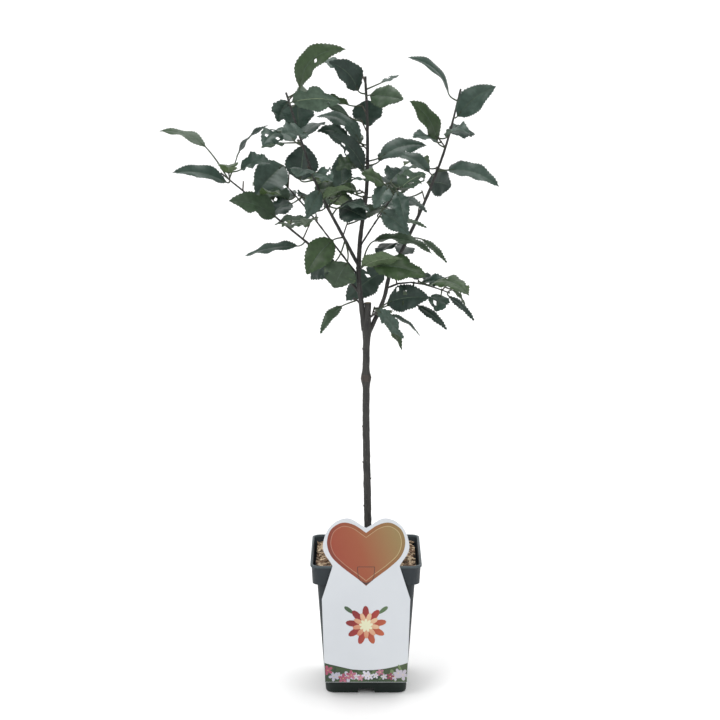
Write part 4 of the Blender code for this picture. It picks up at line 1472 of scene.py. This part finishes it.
def card_rosette():
    """Three rings of petals over two small leaves."""
    fans("card_sprigs", [
        petal((ROSETTE[0] + s * 0.020, ROSETTE[1] + 0.020), math.pi / 2 - s * 0.9, 0.020, 0.009)
        for s in (-1, 1)])
    turns = [2 * math.pi * k / PETALS + 0.2 for k in range(PETALS)]
    for name, twist, long, wide in PETAL_RINGS:
        fans(name, [petal(ROSETTE, turn + twist, PETAL_LONG * long, PETAL_LONG * wide) for turn in turns])


def card_strip():
    """A green strip along the card's foot, with small flowers strewn over it."""
    rng = random.Random(SEED + 3)
    upper = []
    for k in range(25):
        share = -1 + k / 12
        upper.append(Vector((share * (CARD_FOOT_HALF + 0.0006), STRIP_MIDDLE + STRIP_SAG * share ** 2)))
    half = CARD_FOOT_HALF - 0.0006
    low = CARD_FOOT + STRIP_EDGE
    film("card_strip", [Vector((-half, low)), Vector((half, low))] + upper[::-1])
    white = []
    pink = []
    hearts = []
    leaves = []
    for k in range(STRIP_FLOWERS):
        x = -half + 0.006 + (2 * half - 0.012) * (k + rng.uniform(-0.25, 0.25)) / (STRIP_FLOWERS - 1)
        top = STRIP_MIDDLE + STRIP_SAG * (x / CARD_FOOT_HALF) ** 2
        z = rng.uniform(CARD_FOOT + 0.004, top - 0.004)
        size = rng.uniform(0.0056, 0.0104)
        spin = rng.uniform(0, 2)
        group = pink if rng.random() < 0.4 else white
        for n in range(5):
            line = petal((x, z), spin + n * 2 * math.pi / 5, size, size * 0.72)
            group.append(clipped(line, top, half))
        hearts.append(clipped(petal((x - 0.0011, z), 0, 0.0022, 0.0022), top, half))
        for n in range(2):
            line = petal((x, z), rng.uniform(0, 6.3), size * 1.9, size * 0.5)
            leaves.append(clipped(line, top, half))
    fans("card_strip_leaves", leaves)
    fans("card_strip_white", white)
    fans("card_strip_pink", pink)
    fans("card_strip_hearts", hearts)


def card_slit_painted_shadow():
    """Painted shadow, as dark flat shapes, in the fine slit round the tongue that is cut out of the card
    and in the gap at its tip.
    """
    shapes = []
    for hand in (-1, 1):
        for a, b in zip(TONGUE, TONGUE[1:]):
            a = Vector((a[0] * hand, a[1]))
            b = Vector((b[0] * hand, b[1]))
            side = Vector((a.y - b.y, b.x - a.x)).normalized() * SLIT_HALF
            shapes.append((a - side, b - side, b + side, a + side))
    fans("card_slit_painted_shadow", shapes + [CRESCENT], 0)


def card_stock():
    """Smooth pale plastic sheet with a soft sheen."""
    made, tree, shader = node_material("card_stock", 0.36, 0.5)
    value = noise_value(tree, 8, 3)
    tree.links.new(ramp(tree, value, [(0.3, linear(196, 200, 205)), (0.7, linear(203, 207, 211))]),
                   shader.inputs["Base Color"])
    bump(tree, shader, noise_value(tree, 45, 2), 0.05, 0.0006)
    return made


def stage():
    """A plain white floor that curves up behind, and soft lights."""
    white, tree, shader = node_material("studio_white", 0.9, 0.1)
    tone = ramp(tree, noise_value(tree, 3, 1), [(0.0, grey(0.94)), (1.0, grey(0.96))])
    tree.links.new(tone, shader.inputs["Base Color"])
    profile = [(FLOOR_NEAR, 0.0), (FLOOR_FAR, 0.0)]
    for k in range(1, 13):
        turn = math.pi / 2 * k / 12
        profile.append((FLOOR_FAR + SWEEP * math.sin(turn), SWEEP * (1 - math.cos(turn))))
    profile.append((FLOOR_FAR + SWEEP, WALL_TOP))
    verts = []
    for y, z in profile:
        verts += [(-FLOOR_HALF, y, z), (FLOOR_HALF, y, z)]
    faces = [(2 * i, 2 * i + 1, 2 * i + 3, 2 * i + 2) for i in range(len(profile) - 1)]
    floor = mesh_piece("studio_floor", verts, faces, [white])
    world = bpy.data.worlds.new("studio")
    world.use_nodes = True
    backdrop = world.node_tree.nodes["Background"]
    backdrop.inputs["Color"].default_value = grey(1)
    backdrop.inputs["Strength"].default_value = WORLD_LIGHT
    bpy.context.scene.world = world
    for name, spot, aim, size, power in LIGHTS:
        light = bpy.data.lights.new(name, "AREA")
        light.shape = "SQUARE"
        light.size = size
        light.energy = power
        aimed(placed(name, light), spot, aim)


def aimed(obj, spot, aim):
    """Stands a lamp or camera at a spot, turned towards its aim."""
    obj.location = spot
    obj.rotation_euler = (Vector(aim) - Vector(spot)).to_track_quat("-Z", "Y").to_euler()


def camera():
    data = bpy.data.cameras.new("camera")
    data.lens = LENS
    data.sensor_width = SENSOR
    obj = placed("camera", data)
    aimed(obj, EYE, AIM)
    bpy.context.scene.camera = obj


def main():
    camera()
    ways = limb_ways()
    bark = bark_material("bark", linear(30, 31, 32), linear(56, 55, 53))
    graft = bark_material("graft_bark", linear(42, 38, 37), linear(68, 61, 57))
    bud_skin = bark_material("bud_scales", linear(34, 30, 30), linear(56, 48, 44))
    bark_limbs(ways, [bark, graft, bud_skin])
    cut_face([rough_material("cut_wood", linear(106, 94, 70), 0.8, 500)])
    sides = [leaf_material("leaf_upper_%d" % i, linear(*c), 0.45) for i, c in enumerate(UPPERS)]
    sides += [leaf_material("leaf_under_%d" % i, linear(*c), 0.6) for i, c in enumerate(UNDERS)]
    sides += [leaf_material("rib_upper", linear(66, 82, 67), 0.5),
              leaf_material("rib_under", linear(112, 126, 98), 0.6)]
    twig = bark_material("twig_bark", linear(40, 38, 35), linear(68, 62, 53))
    stalk = leaf_material("leaf_stalk", linear(56, 66, 48), 0.55)
    crown(ways, sides, [bark, twig, stalk])
    pot(pot_material())
    soil = rough_material("soil_dark", linear(58, 42, 32), 0.95, 250, 0.4, 0.6)
    root_ball(soil)
    mulch(soil, [rough_material("chip_%d" % i, linear(*c), 0.85, 300, 0.3, 0.5)
                 for i, c in enumerate(CHIP_COLOURS)])
    card(card_stock())
    card_heart()
    card_rosette()
    card_strip()
    card_slit_painted_shadow()
    stage()
    bpy.context.scene.view_settings.view_transform = "Standard"


main()
